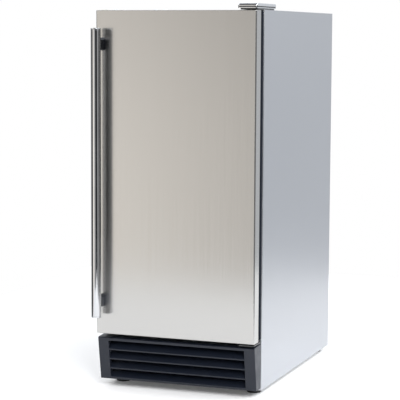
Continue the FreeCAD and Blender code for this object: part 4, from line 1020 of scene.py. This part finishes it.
def toe_grille(sizes):
    """The wedge-shaped kick grille: a leaning frame with rows of slats and uprights behind them."""
    low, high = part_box("toe_grille")
    wall = 2.6 * MM
    rail = 5.5 * MM
    base = low.y + 16 * MM
    chin = high.z - 4.5 * MM
    outline = [(high.y, low.z), (base, low.z), (low.y, chin), (low.y + 3 * MM, chin + 2 * MM),
               (high.y, high.z)]
    shell = prism("grille_frame", outline, "X", low.x, high.x)
    inner = [(high.y + 1 * MM, low.z + wall), (base + wall, low.z + wall),
             (low.y + wall + 0.6 * MM, chin), (high.y + 1 * MM, high.z - wall)]
    carved(shell, prism("inner", inner, "X", low.x + wall, high.x - wall))
    lean = (low.y - base) / (chin - low.z)
    rows = sizes.slat_rows
    opening = (chin - low.z - 2 * rail - (rows - 1) * sizes.slat) / rows
    window = high.x - 25 * MM
    foot = low.z + rail
    face = base + lean * rail
    gap = [(face - 6 * MM, foot), (face + 14 * MM, foot),
           (face + 14 * MM + lean * (chin - rail - foot), chin - rail),
           (face - 6 * MM + lean * (chin - rail - foot), chin - rail)]
    carved(shell, prism("window", gap, "X", -window, window))
    settle(dressed(softened(shell, 0.9)), "black_plastic", "toe_grille")
    step = opening + sizes.slat
    blades = []
    for deep, rise in ((24 * MM, 16 * MM), (18 * MM, 12 * MM)):
        blade = [(0.5 * MM, -sizes.slat), (0, -sizes.slat + 0.6 * MM), (0, -0.6 * MM), (0.5 * MM, 0),
                 (deep, rise), (deep + 0.6 * MM, rise - 0.8 * MM), (deep, rise - 2.6 * MM)]
        blades.append(dressed(prism("slat", blade, "X", -window - 3 * MM, window + 3 * MM), 50))
    slats = grown("slats", grid_tree, "black_plastic", Piece=blades[0], Columns=1, Rows=rows - 1,
                  First=(0, face + lean * step, foot + step), Row_step=(0, lean * step, step))
    sill = grown("sill", grid_tree, "black_plastic", Piece=blades[1], Columns=1, Rows=1,
                 First=(0, face, foot))
    settle(joined("grille_slats", [slats, sill]), "black_plastic", body="cabinet")
    behind = [(base + 6 * MM, low.z + 1 * MM), (base + 9 * MM, low.z + 1 * MM),
              (low.y + 9 * MM, chin), (low.y + 6 * MM, chin)]
    upright = softened(prism("upright", behind, "X", -1.5 * MM, 1.5 * MM), 0.3)
    uprights = grown("grille_uprights", grid_tree, "black_plastic", Piece=upright, Columns=2, Rows=1,
                     First=(-window - 1.5 * MM, 0, 0), Column_step=(2 * window + 3 * MM, 0, 0))
    settle(dressed(uprights), "black_plastic", body="cabinet")


def levelling_foot(node, sizes):
    """A screw-in foot: a scalloped nylon pad moulded round a threaded steel stud."""
    low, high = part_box(node)
    centre = ((low.x + high.x) / 2, (low.y + high.y) / 2)
    radius = (high.x - low.x) / 2
    floor = low.z
    profile = [(0, 0), (radius * 0.92, 0), (radius, 1.4 * MM), (radius, 6.2 * MM),
               (radius * 0.96, 7.4 * MM), (radius * 0.86, 8.4 * MM), (6 * MM, 8.5 * MM), (0, 8.5 * MM)]
    profile = [(r, floor + z) for r, z in profile]
    pad = lathe(node + "_pad", profile, centre, sides=96,
                wave=lambda a: 1 - 0.055 * max(0.0, math.cos(12 * a)) ** 2)
    settle(dressed(pad, 30), "leg_plastic", node)
    core = 3.4 * MM
    stud = lathe("stud", [(0, floor + 8 * MM), (5.5 * MM, floor + 8 * MM), (5.5 * MM, floor + 8.4 * MM),
                          (core, floor + 8.8 * MM), (core, high.z - 0.8 * MM),
                          (core - 0.8 * MM, high.z), (0, high.z)], centre, sides=24)
    pitch = sizes.thread_pitch
    turns = int((high.z - floor - 15 * MM) / pitch)
    thread = grown("thread", thread_tree, "zinc_screws", Radius=core, Pitch=pitch, Turns=float(turns),
                   Ridge=0.55 * MM, Start=(centre[0], centre[1], floor + 13 * MM))
    settle(dressed(joined(node + "_stud", [stud, thread])), "zinc_screws", body=BODY_OF[node])


# ---- ice bin and mould --------------------------------------------------------------------------
def ice_bin():
    """The white bin with its drain, the scoop and its holder, and the ice level probe."""
    refined("bin_liner", "liner_plastic", 0.0, 45)
    refined("bin_drain", "liner_plastic", 0.4)
    refined("scoop_holder", "liner_plastic", 0.6)
    refined("ice_scoop", "blue_plastic", 0.7)
    refined("ice_level_probe", "copper_tube", 0.4)


def mould():
    """The tinned mould of square cups, its housing, and the parts that water and ice pass over."""
    low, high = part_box("evaporator_grid")
    cells = bpy.context.scene.icemaker_sizes.mould_cells
    front, wall = low.y, 1.0 * MM
    plate_back = front + 26 * MM
    step = (high.x - low.x - 2 * wall) / cells
    half = step / 2 - 0.05 * MM
    layers = []
    for depth, inset, radius in ((23.2, 0.0, 1.0), (0.5, 0.0, 1.0), (0.0, 0.3, 0.9), (0.3, 0.9, 1.4),
                                 (12.0, 1.5, 2.0), (21.0, 2.6, 3.0), (22.6, 5.0, 4.0)):
        reach = half - inset * MM
        layers.append((front + depth * MM, round_rect(-reach, reach, -reach, reach, radius * MM, 2)))
    cup = stack("cup", "Y", layers)
    start = (low.x + wall + step / 2, 0, low.z + wall + step / 2)
    cups = grown("mould_cups", grid_tree, "tinned_copper", Piece=cup, Columns=cells, Rows=cells,
                 First=start, Column_step=(step, 0, 0), Row_step=(0, 0, step))
    plate = stack("plate", "Y", [
        (front + 22.9 * MM, round_rect(low.x, high.x, low.z, high.z, 2 * MM)),
        (plate_back, round_rect(low.x, high.x, low.z, high.z, 2 * MM))])
    rim = []
    for depth in (front + 1 * MM, plate_back - 2 * MM):
        rim.append([(u, depth, v) for u, v in round_rect(low.x, high.x, low.z, high.z, 1 * MM, 2)])
    for depth in (plate_back - 2 * MM, front + 1 * MM):
        rim.append([(u, depth, v) for u, v in round_rect(low.x + wall, high.x - wall, low.z + wall,
                                                         high.z - wall, 1 * MM, 2)])
    edge = skin("rim", rim, closed=True)
    studs = [lathe("stud", [(0, plate_back - 1 * MM), (4 * MM, plate_back - 1 * MM), (4 * MM, high.y),
                            (0, high.y)], ((low.x + high.x) / 2 + sx * 39 * MM, low.z + z * MM), "Y", 24)
             for sx in (-1, 1) for z in (27.0, 131.0)]
    settle(dressed(joined("ice_mould", [cups, plate, edge] + studs), 40), "tinned_copper",
           "evaporator_grid")
    refined("evaporator_housing", "liner_plastic", 0.5)
    refined("water_distributor", "liner_plastic", 0.2)
    refined("water_curtain", "clear_plastic", 0.3)
    refined("ice_slide", "liner_plastic", 0.4)


def water_system():
    """Trough, float switch, pump and hoses, with the inlet valve and drain at the back."""
    refined("water_trough", "liner_plastic", 0.5)
    refined("float_switch", "grey_plastic", 0.3)
    refined("trough_float", "nylon_bushing", 0.4)
    refined("circulation_pump", "grey_plastic", 0.5)
    refined("pump_hose", "silicone_hose")
    refined("water_inlet_valve", "valve_body", 0.5)
    refined("drain_hose", "black_plastic")
    refined("drain_spigot", "grey_plastic", 0.4)
    refined("cord_gland", "grey_plastic", 0.5)


def controls():
    """Control housing with its rocker, lamp and two indicator lenses, and the electronics box."""
    refined("control_housing", "grey_plastic", 0.5)
    refined("rocker_switch", "switch_plastic", 0.4)
    refined("lamp_lens", "clear_plastic", 0.4)
    refined("control_box", "galvanised_sheet", 0.4)
    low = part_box("control_housing")[0]
    rocker_low, rocker_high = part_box("rocker_switch")
    level = (rocker_low.z + rocker_high.z) / 2
    dome = [(2.0 * MM * math.cos(math.radians(a)), 0.2 * MM + 1.3 * MM * math.sin(math.radians(a)))
            for a in (0, 25, 50, 75)]
    lens = lathe("lens", [(0, -5 * MM), (1.95 * MM, -5 * MM)] + dome + [(0, 1.5 * MM)], (0, 0), sides=24)
    front = low.y + 1.5 * MM
    lenses = grown("indicator_lenses", scatter_tree, "clear_plastic", Piece=lens,
                   points=[(x * MM, front, level) for x in (-40, -52)], facings=[(0, -1, 0)] * 2)
    settle(dressed(lenses), "clear_plastic", body="cabinet", material=material_named(tinted_led_lens))


# ---- machine compartment ------------------------------------------------------------------------
def condenser_pack(sizes):
    """The condenser: close thin fins with ruffled edges on two rows of copper tube."""
    low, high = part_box("condenser")
    tube_y = (low.y + 12 * MM, low.y + 32 * MM)
    tube_z = low.z + 21 * MM
    fin_low = (low.y + 2 * MM, low.z + 6 * MM)
    fin_high = (low.y + 42 * MM, low.z + 108 * MM)
    ruffle = 0.4 * MM
    edge = []
    for k in range(28):
        v = fin_low[1] + (fin_high[1] - fin_low[1]) * k / 27
        edge.append((fin_low[0] + ruffle * (k % 2), v))
    back = [(fin_high[0] - (u - fin_low[0]), v) for u, v in reversed(edge)]
    fin = prism("fin", edge + back, "X", 0, 0.25 * MM)
    ends = 7.5 * MM
    count = int((high.x - low.x - 2 * ends) / sizes.fin_pitch)
    fins = grown("condenser_fins", grid_tree, "fin_aluminium", Piece=fin, Columns=count, Rows=1,
                 First=(low.x + ends, 0, 0), Column_step=(sizes.fin_pitch, 0, 0))
    settle(fins, "fin_aluminium", "condenser")
    tube = lathe("tube", [(0, low.x), (4 * MM, low.x), (4 * MM, high.x), (0, high.x)],
                 (tube_y[0], tube_z), "X", 20)
    tubes = grown("condenser_tubes", grid_tree, "copper_tube", Piece=tube, Columns=2, Rows=4,
                  First=(0, 0, 0), Column_step=(0, tube_y[1] - tube_y[0], 0), Row_step=(0, 0, 24 * MM))
    settle(dressed(tubes), "copper_tube", body="cabinet")
    plates = []
    for x in (low.x + 5 * MM, high.x - 5 * MM):
        outline = round_rect(low.y, high.y, low.z, high.z, 3 * MM)
        plates.append(softened(prism("plate", outline, "X", x - 0.7 * MM, x + 0.7 * MM), 0.2))
    settle(dressed(joined("condenser_end_plates", plates)), "galvanised_sheet", body="cabinet")


def fan_wheel(sizes):
    """The condenser fan: cambered blades in a ring round a hub, on the motor's shaft."""
    low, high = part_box("fan_blade")
    centre_x, centre_z = (low.x + high.x) / 2, (low.z + high.z) / 2
    tip = (high.x - low.x) / 2
    middle_y = low.y + 8 * MM
    rings = []
    for step in range(7):
        share = step / 6
        radius = 12 * MM + (tip - 13 * MM) * share
        chord = (10 + 5 * math.sin(math.pi * (0.25 + 0.6 * share))) * MM
        pitch = math.radians(38 - 12 * share)
        ring = []
        for k in range(12):
            t = 2 * math.pi * k / 12
            u = chord * math.cos(t)
            w = 0.7 * MM * math.sin(t) + 1.8 * MM * (1 - (u / chord) ** 2)
            ring.append((u * math.cos(pitch) - w * math.sin(pitch),
                         u * math.sin(pitch) * 0.8 + w * math.cos(pitch), radius))
        rings.append(ring)
    blade = skin("blade", rings)
    blades = grown("blades", ring_tree, "fin_aluminium", Piece=blade, Count=sizes.fan_blades,
                   Centre=(centre_x, middle_y, centre_z))
    hub = lathe("hub", [(0, low.y), (8 * MM, low.y + 0.3 * MM), (13 * MM, low.y + 1.6 * MM),
                        (15 * MM, low.y + 4 * MM), (15 * MM, low.y + 16 * MM), (3 * MM, low.y + 16 * MM),
                        (3 * MM, high.y), (0, high.y)], (centre_x, centre_z), "Y", 48)
    settle(dressed(joined("fan_wheel", [blades, hub]), 45), "fin_aluminium", "fan_blade")


def compressor_can():
    """The hermetic compressor: two deep-drawn half shells, weld bead, base plate and stub pipe."""
    low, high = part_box("compressor")
    centre = ((low.x + high.x) / 2, (low.y + high.y) / 2)
    floor = low.z
    wide = 66 * MM
    bowl = [(wide * math.sin(math.radians(a)) ** 0.8, 4 * MM + 34 * MM * (1 - math.cos(math.radians(a))))
            for a in range(10, 91, 10)]
    seam = [(wide, 77 * MM), (68 * MM, 77.6 * MM), (69 * MM, 79.5 * MM), (69 * MM, 82.5 * MM),
            (68 * MM, 84.4 * MM), (wide, 85 * MM)]
    dome = [(wide * math.cos(math.radians(a)) ** 0.8, 128 * MM + 40 * MM * math.sin(math.radians(a)))
            for a in range(0, 90, 10)]
    profile = [(0, 4 * MM)] + bowl + seam + dome + [(0, 168 * MM)]
    shell = lathe("shell", [(r, floor + z) for r, z in profile], centre, sides=96)
    plate_outline = round_rect(low.x, high.x, low.y, high.y, 14 * MM, 8)
    plate = softened(prism("plate", plate_outline, "Z", floor, floor + 3 * MM), 0.6)
    stub = lathe("stub", [(0, floor + 140 * MM), (3 * MM, floor + 140 * MM), (3 * MM, high.z - 2 * MM),
                          (1.2 * MM, high.z), (0, high.z)], (centre[0] + 40 * MM, centre[1] + 40 * MM),
                 sides=20)
    settle(dressed(joined("compressor_can", [shell, plate, stub]), 40), "compressor_enamel", "compressor")


def machine(sizes):
    """Everything behind the toe grille."""
    condenser_pack(sizes)
    fan_wheel(sizes)
    compressor_can()
    refined("fan_shroud", "galvanised_sheet", 0.4)
    refined("fan_motor", "motor_steel", 0.6)
    refined("compressor_mounts", "mount_rubber", 0.4)
    refined("terminal_cover", "black_plastic", 0.8)
    refined("refrigerant_lines", "copper_tube")
    refined("filter_drier", "copper_tube")


# ---- stage --------------------------------------------------------------------------------------
CAMERA_PLACE = Vector((1.20674, -3.38413, 0.78697))
CAMERA_TARGET = Vector((0.0, -0.12413, 0.41611))
CAMERA_ROLL = 0.00479
CAMERA_LENS = 137.8

WARM = (1.0, 0.955, 0.895)
PLAIN = (1.0, 1.0, 1.0)
COOL = (0.965, 1.0, 1.05)

# heading round the room in degrees, 0 straight in front and rising to the right; the light's colour;
# its level below the horizon, just above it and high up
ROOM = [
    (-180, COOL, 0.75, 0.75, 1.70), (-150, COOL, 0.70, 0.70, 1.70), (-116, PLAIN, 0.55, 0.55, 1.50),
    (-96, PLAIN, 0.30, 0.30, 1.00), (-72, PLAIN, 0.08, 0.08, 0.40), (-52, PLAIN, 0.10, 0.10, 0.40),
    (-42, WARM, 1.58, 1.10, 0.40), (-27, WARM, 1.58, 1.10, 0.40), (-17, WARM, 0.84, 0.56, 0.40),
    (-10, PLAIN, 0.40, 0.30, 0.40), (-7, PLAIN, 0.90, 0.60, 0.40), (4, PLAIN, 0.90, 0.60, 0.60),
    (8, COOL, 0.05, 0.05, 1.20), (25, COOL, 0.05, 0.05, 2.30), (54, COOL, 0.05, 0.05, 2.40),
    (60, PLAIN, 0.55, 0.55, 2.40), (82, PLAIN, 0.45, 0.45, 2.40), (88, PLAIN, 0.05, 0.05, 2.30),
    (100, COOL, 0.06, 0.06, 2.20), (140, COOL, 0.74, 0.73, 1.80), (180, COOL, 0.75, 0.75, 1.70),
]
CEILING = (0.10, 0.10, 0.11, 1.0)


def set_camera():
    """The camera, level but for a slight roll."""
    data = bpy.data.cameras.new("Camera")
    data.lens = CAMERA_LENS
    data.sensor_width = 36
    camera = bpy.data.objects.new("Camera", data)
    camera.location = CAMERA_PLACE
    heading = (CAMERA_TARGET - CAMERA_PLACE).to_track_quat("-Z", "Y")
    camera.rotation_euler = (heading.to_matrix() @ Matrix.Rotation(CAMERA_ROLL, 3, "Z")).to_euler()
    bpy.context.scene.collection.objects.link(camera)
    bpy.context.scene.camera = camera


def layered(tree, parts, below, above, low, high):
    """The light below, changing to the light above as the direction climbs from low to high."""
    if below is None:
        return above
    climb = add_node(tree, "ShaderNodeMapRange", {
        "Value": parts.outputs["Z"], "From Min": low, "From Max": high})
    return add_node(tree, "ShaderNodeMix", {0: climb.outputs[0], 6: below, 7: above},
                    data_type="RGBA").outputs[2]


def set_room():
    """A room of bright and dark panels, low, level and high up, for the metal to mirror."""
    world = bpy.data.worlds.new("Studio")
    bpy.context.scene.world = world
    world.use_nodes = True
    tree = world.node_tree
    tree.nodes.clear()
    way = add_node(tree, "ShaderNodeTexCoord")
    parts = add_node(tree, "ShaderNodeSeparateXYZ", {0: way.outputs["Generated"]})
    ahead = add_node(tree, "ShaderNodeMath", {0: parts.outputs["Y"], 1: -1.0}, operation="MULTIPLY")
    heading = add_node(tree, "ShaderNodeMath", {0: parts.outputs["X"], 1: ahead.outputs[0]},
                       operation="ARCTAN2")
    share = add_node(tree, "ShaderNodeMapRange", {
        "Value": heading.outputs[0], "From Min": -math.pi, "From Max": math.pi})
    room = None
    for column, low, high in ((2, 0.0, 1.0), (3, -0.06, 0.08), (4, 0.28, 0.45)):
        panels = add_node(tree, "ShaderNodeValToRGB", {0: share.outputs[0]})
        stops = panels.color_ramp.elements
        while len(stops) < len(ROOM):
            stops.new(0.5)
        for stop, row in zip(stops, ROOM):
            stop.position = (row[0] + 180) / 360
            stop.color = [tone * row[column] for tone in row[1]] + [1.0]
        room = layered(tree, parts, room, panels.outputs[0], low, high)
    room = layered(tree, parts, room, CEILING, 0.84, 0.90)
    lit = add_node(tree, "ShaderNodeBackground", {0: room})
    seen = add_node(tree, "ShaderNodeBackground", {0: (1, 1, 1, 1)})
    rays = add_node(tree, "ShaderNodeLightPath")
    mixed = add_node(tree, "ShaderNodeMixShader", {
        0: rays.outputs["Is Camera Ray"], 1: lit.outputs[0], 2: seen.outputs[0]})
    add_node(tree, "ShaderNodeOutputWorld", {0: mixed.outputs[0]})


def set_floor():
    """A plain pale floor, matt, that ends out of sight and glows a little so its shadows stay soft."""
    tree, shader = surface_of("matt_white_floor", srgb("F8F8F8"), 0.9)
    speckle = add_node(tree, "ShaderNodeTexNoise", {"Scale": 4.0})
    paint(tree, shader, speckle.outputs[0], srgb("F7F7F7"), srgb("FAFAFA"))
    rays = add_node(tree, "ShaderNodeLightPath")
    glow = add_node(tree, "ShaderNodeMath", {0: rays.outputs["Is Camera Ray"], 1: 0.09},
                    operation="MULTIPLY")
    tree.links.new(glow.outputs[0], shader.inputs["Emission Strength"])
    shader.inputs["Emission Color"].default_value = (1, 1, 1, 1)
    front, rear, left, right = -1.7, 1.5, -0.95, 1.0
    outline = [(left, front), (right, front), (right, rear), (left, rear)]
    floor = prism("floor", outline, "Z", -0.02, -0.00005)
    floor.data.materials.append(bpy.data.materials["matt_white_floor"])


def soft_box(name, place, aim, width, height, energy):
    """An area light, aimed at a point."""
    data = bpy.data.lights.new(name, "AREA")
    data.shape = "RECTANGLE"
    data.size = width
    data.size_y = height
    data.energy = energy
    light = bpy.data.objects.new(name, data)
    light.location = place
    light.rotation_euler = (Vector(aim) - Vector(place)).to_track_quat("-Z", "Y").to_euler()
    bpy.context.scene.collection.objects.link(light)


def set_lights():
    """Soft boxes left, right and in front that lift the floor, out of the metal's mirror view."""
    soft_box("Left box", (-2.4, -0.9, 2.0), (-0.2, -0.4, 0), 1.2, 1.2, 30.0)
    soft_box("Right box", (2.6, 0.6, 1.9), (0.5, 0.3, 0), 1.2, 1.2, 34.0)
    soft_box("Front box", (1.5, -2.6, 1.7), (0, -0.5, 0), 1.0, 1.0, 44.0)


# ---- operators ----------------------------------------------------------------------------------
class ICEMAKER_OT_door(bpy.types.Operator):
    """Make the door: steel skin, inner liner, foam and magnetic gasket"""

    bl_idname = "icemaker.door"
    bl_label = "Door"

    def execute(self, context):
        sizes = context.scene.icemaker_sizes
        door_pan(sizes)
        door_inner()
        door_filling()
        door_seal()
        return {"FINISHED"}


class ICEMAKER_OT_handle(bpy.types.Operator):
    """Make the tube handle with its posts and screws"""

    bl_idname = "icemaker.handle"
    bl_label = "Handle"

    def execute(self, context):
        handle()
        return {"FINISHED"}


class ICEMAKER_OT_cabinet(bpy.types.Operator):
    """Make the cabinet's outer sheets, front frame and insulation"""

    bl_idname = "icemaker.cabinet"
    bl_label = "Cabinet"

    def execute(self, context):
        cabinet_sheets(context.scene.icemaker_sizes)
        rear_louvres()
        return {"FINISHED"}


class ICEMAKER_OT_hinges(bpy.types.Operator):
    """Make the hinges, their bright cap, the cabinet's screws and the hole plugs"""

    bl_idname = "icemaker.hinges"
    bl_label = "Hinges and fasteners"

    def execute(self, context):
        hinges()
        fasteners()
        return {"FINISHED"}


class ICEMAKER_OT_grille(bpy.types.Operator):
    """Make the toe grille with its slats"""

    bl_idname = "icemaker.grille"
    bl_label = "Toe grille"

    def execute(self, context):
        toe_grille(context.scene.icemaker_sizes)
        return {"FINISHED"}


class ICEMAKER_OT_feet(bpy.types.Operator):
    """Make the four levelling feet"""

    bl_idname = "icemaker.feet"
    bl_label = "Levelling feet"

    def execute(self, context):
        for node in sorted(frame["nodes"]):
            if node.startswith("leg_"):
                levelling_foot(node, context.scene.icemaker_sizes)
        return {"FINISHED"}


class ICEMAKER_OT_bin(bpy.types.Operator):
    """Make the ice bin, its drain, the scoop and its holder"""

    bl_idname = "icemaker.bin"
    bl_label = "Ice bin"

    def execute(self, context):
        ice_bin()
        return {"FINISHED"}


class ICEMAKER_OT_mould(bpy.types.Operator):
    """Make the ice mould with its housing, curtain and slide"""

    bl_idname = "icemaker.mould"
    bl_label = "Ice mould"

    def execute(self, context):
        mould()
        return {"FINISHED"}


class ICEMAKER_OT_water(bpy.types.Operator):
    """Make the trough, float, pump, hoses, inlet valve and drain"""

    bl_idname = "icemaker.water"
    bl_label = "Water system"

    def execute(self, context):
        water_system()
        return {"FINISHED"}


class ICEMAKER_OT_controls(bpy.types.Operator):
    """Make the control housing, rocker, lamps and electronics box"""

    bl_idname = "icemaker.controls"
    bl_label = "Controls"

    def execute(self, context):
        controls()
        return {"FINISHED"}


class ICEMAKER_OT_machine(bpy.types.Operator):
    """Make the condenser, fan, compressor and refrigerant lines"""

    bl_idname = "icemaker.machine"
    bl_label = "Machine compartment"

    def execute(self, context):
        machine(context.scene.icemaker_sizes)
        return {"FINISHED"}


class ICEMAKER_OT_stage(bpy.types.Operator):
    """Set the camera, the room, the floor and the lights"""

    bl_idname = "icemaker.stage"
    bl_label = "Stage"

    def execute(self, context):
        context.scene.view_settings.view_transform = "Standard"
        set_camera()
        set_room()
        set_floor()
        set_lights()
        return {"FINISHED"}


OPERATORS = (
    ICEMAKER_OT_door, ICEMAKER_OT_handle, ICEMAKER_OT_cabinet, ICEMAKER_OT_hinges, ICEMAKER_OT_grille,
    ICEMAKER_OT_feet, ICEMAKER_OT_bin, ICEMAKER_OT_mould, ICEMAKER_OT_water, ICEMAKER_OT_controls,
    ICEMAKER_OT_machine, ICEMAKER_OT_stage,
)


class ICEMAKER_PT_parts(bpy.types.Panel):
    """The parts of the ice maker, in the order they are made"""

    bl_idname = "ICEMAKER_PT_parts"
    bl_label = "Ice Maker"
    bl_space_type = "VIEW_3D"
    bl_region_type = "UI"
    bl_category = "Ice Maker"

    def draw(self, context):
        for group in (context.scene.icemaker_sizes, context.scene.icemaker_colours):
            for name in group.__annotations__:
                self.layout.prop(group, name)
        for operator in OPERATORS:
            self.layout.operator(operator.bl_idname)


CLASSES = (ICEMAKER_PG_sizes, ICEMAKER_PG_colours, *OPERATORS, ICEMAKER_PT_parts)


def register():
    for cls in CLASSES:
        bpy.utils.register_class(cls)
    bpy.types.Scene.icemaker_sizes = PointerProperty(type=ICEMAKER_PG_sizes)
    bpy.types.Scene.icemaker_colours = PointerProperty(type=ICEMAKER_PG_colours)


def unregister():
    del bpy.types.Scene.icemaker_colours
    del bpy.types.Scene.icemaker_sizes
    for cls in reversed(CLASSES):
        bpy.utils.unregister_class(cls)


def main():
    """Builds every piece in order, then notes the CAD box and the visual box."""
    register()
    bpy.ops.icemaker.door()
    bpy.ops.icemaker.handle()
    bpy.ops.icemaker.cabinet()
    bpy.ops.icemaker.hinges()
    bpy.ops.icemaker.grille()
    bpy.ops.icemaker.feet()
    bpy.ops.icemaker.bin()
    bpy.ops.icemaker.mould()
    bpy.ops.icemaker.water()
    bpy.ops.icemaker.controls()
    bpy.ops.icemaker.machine()
    bpy.ops.icemaker.stage()


if __name__ == "__main__":
    main()
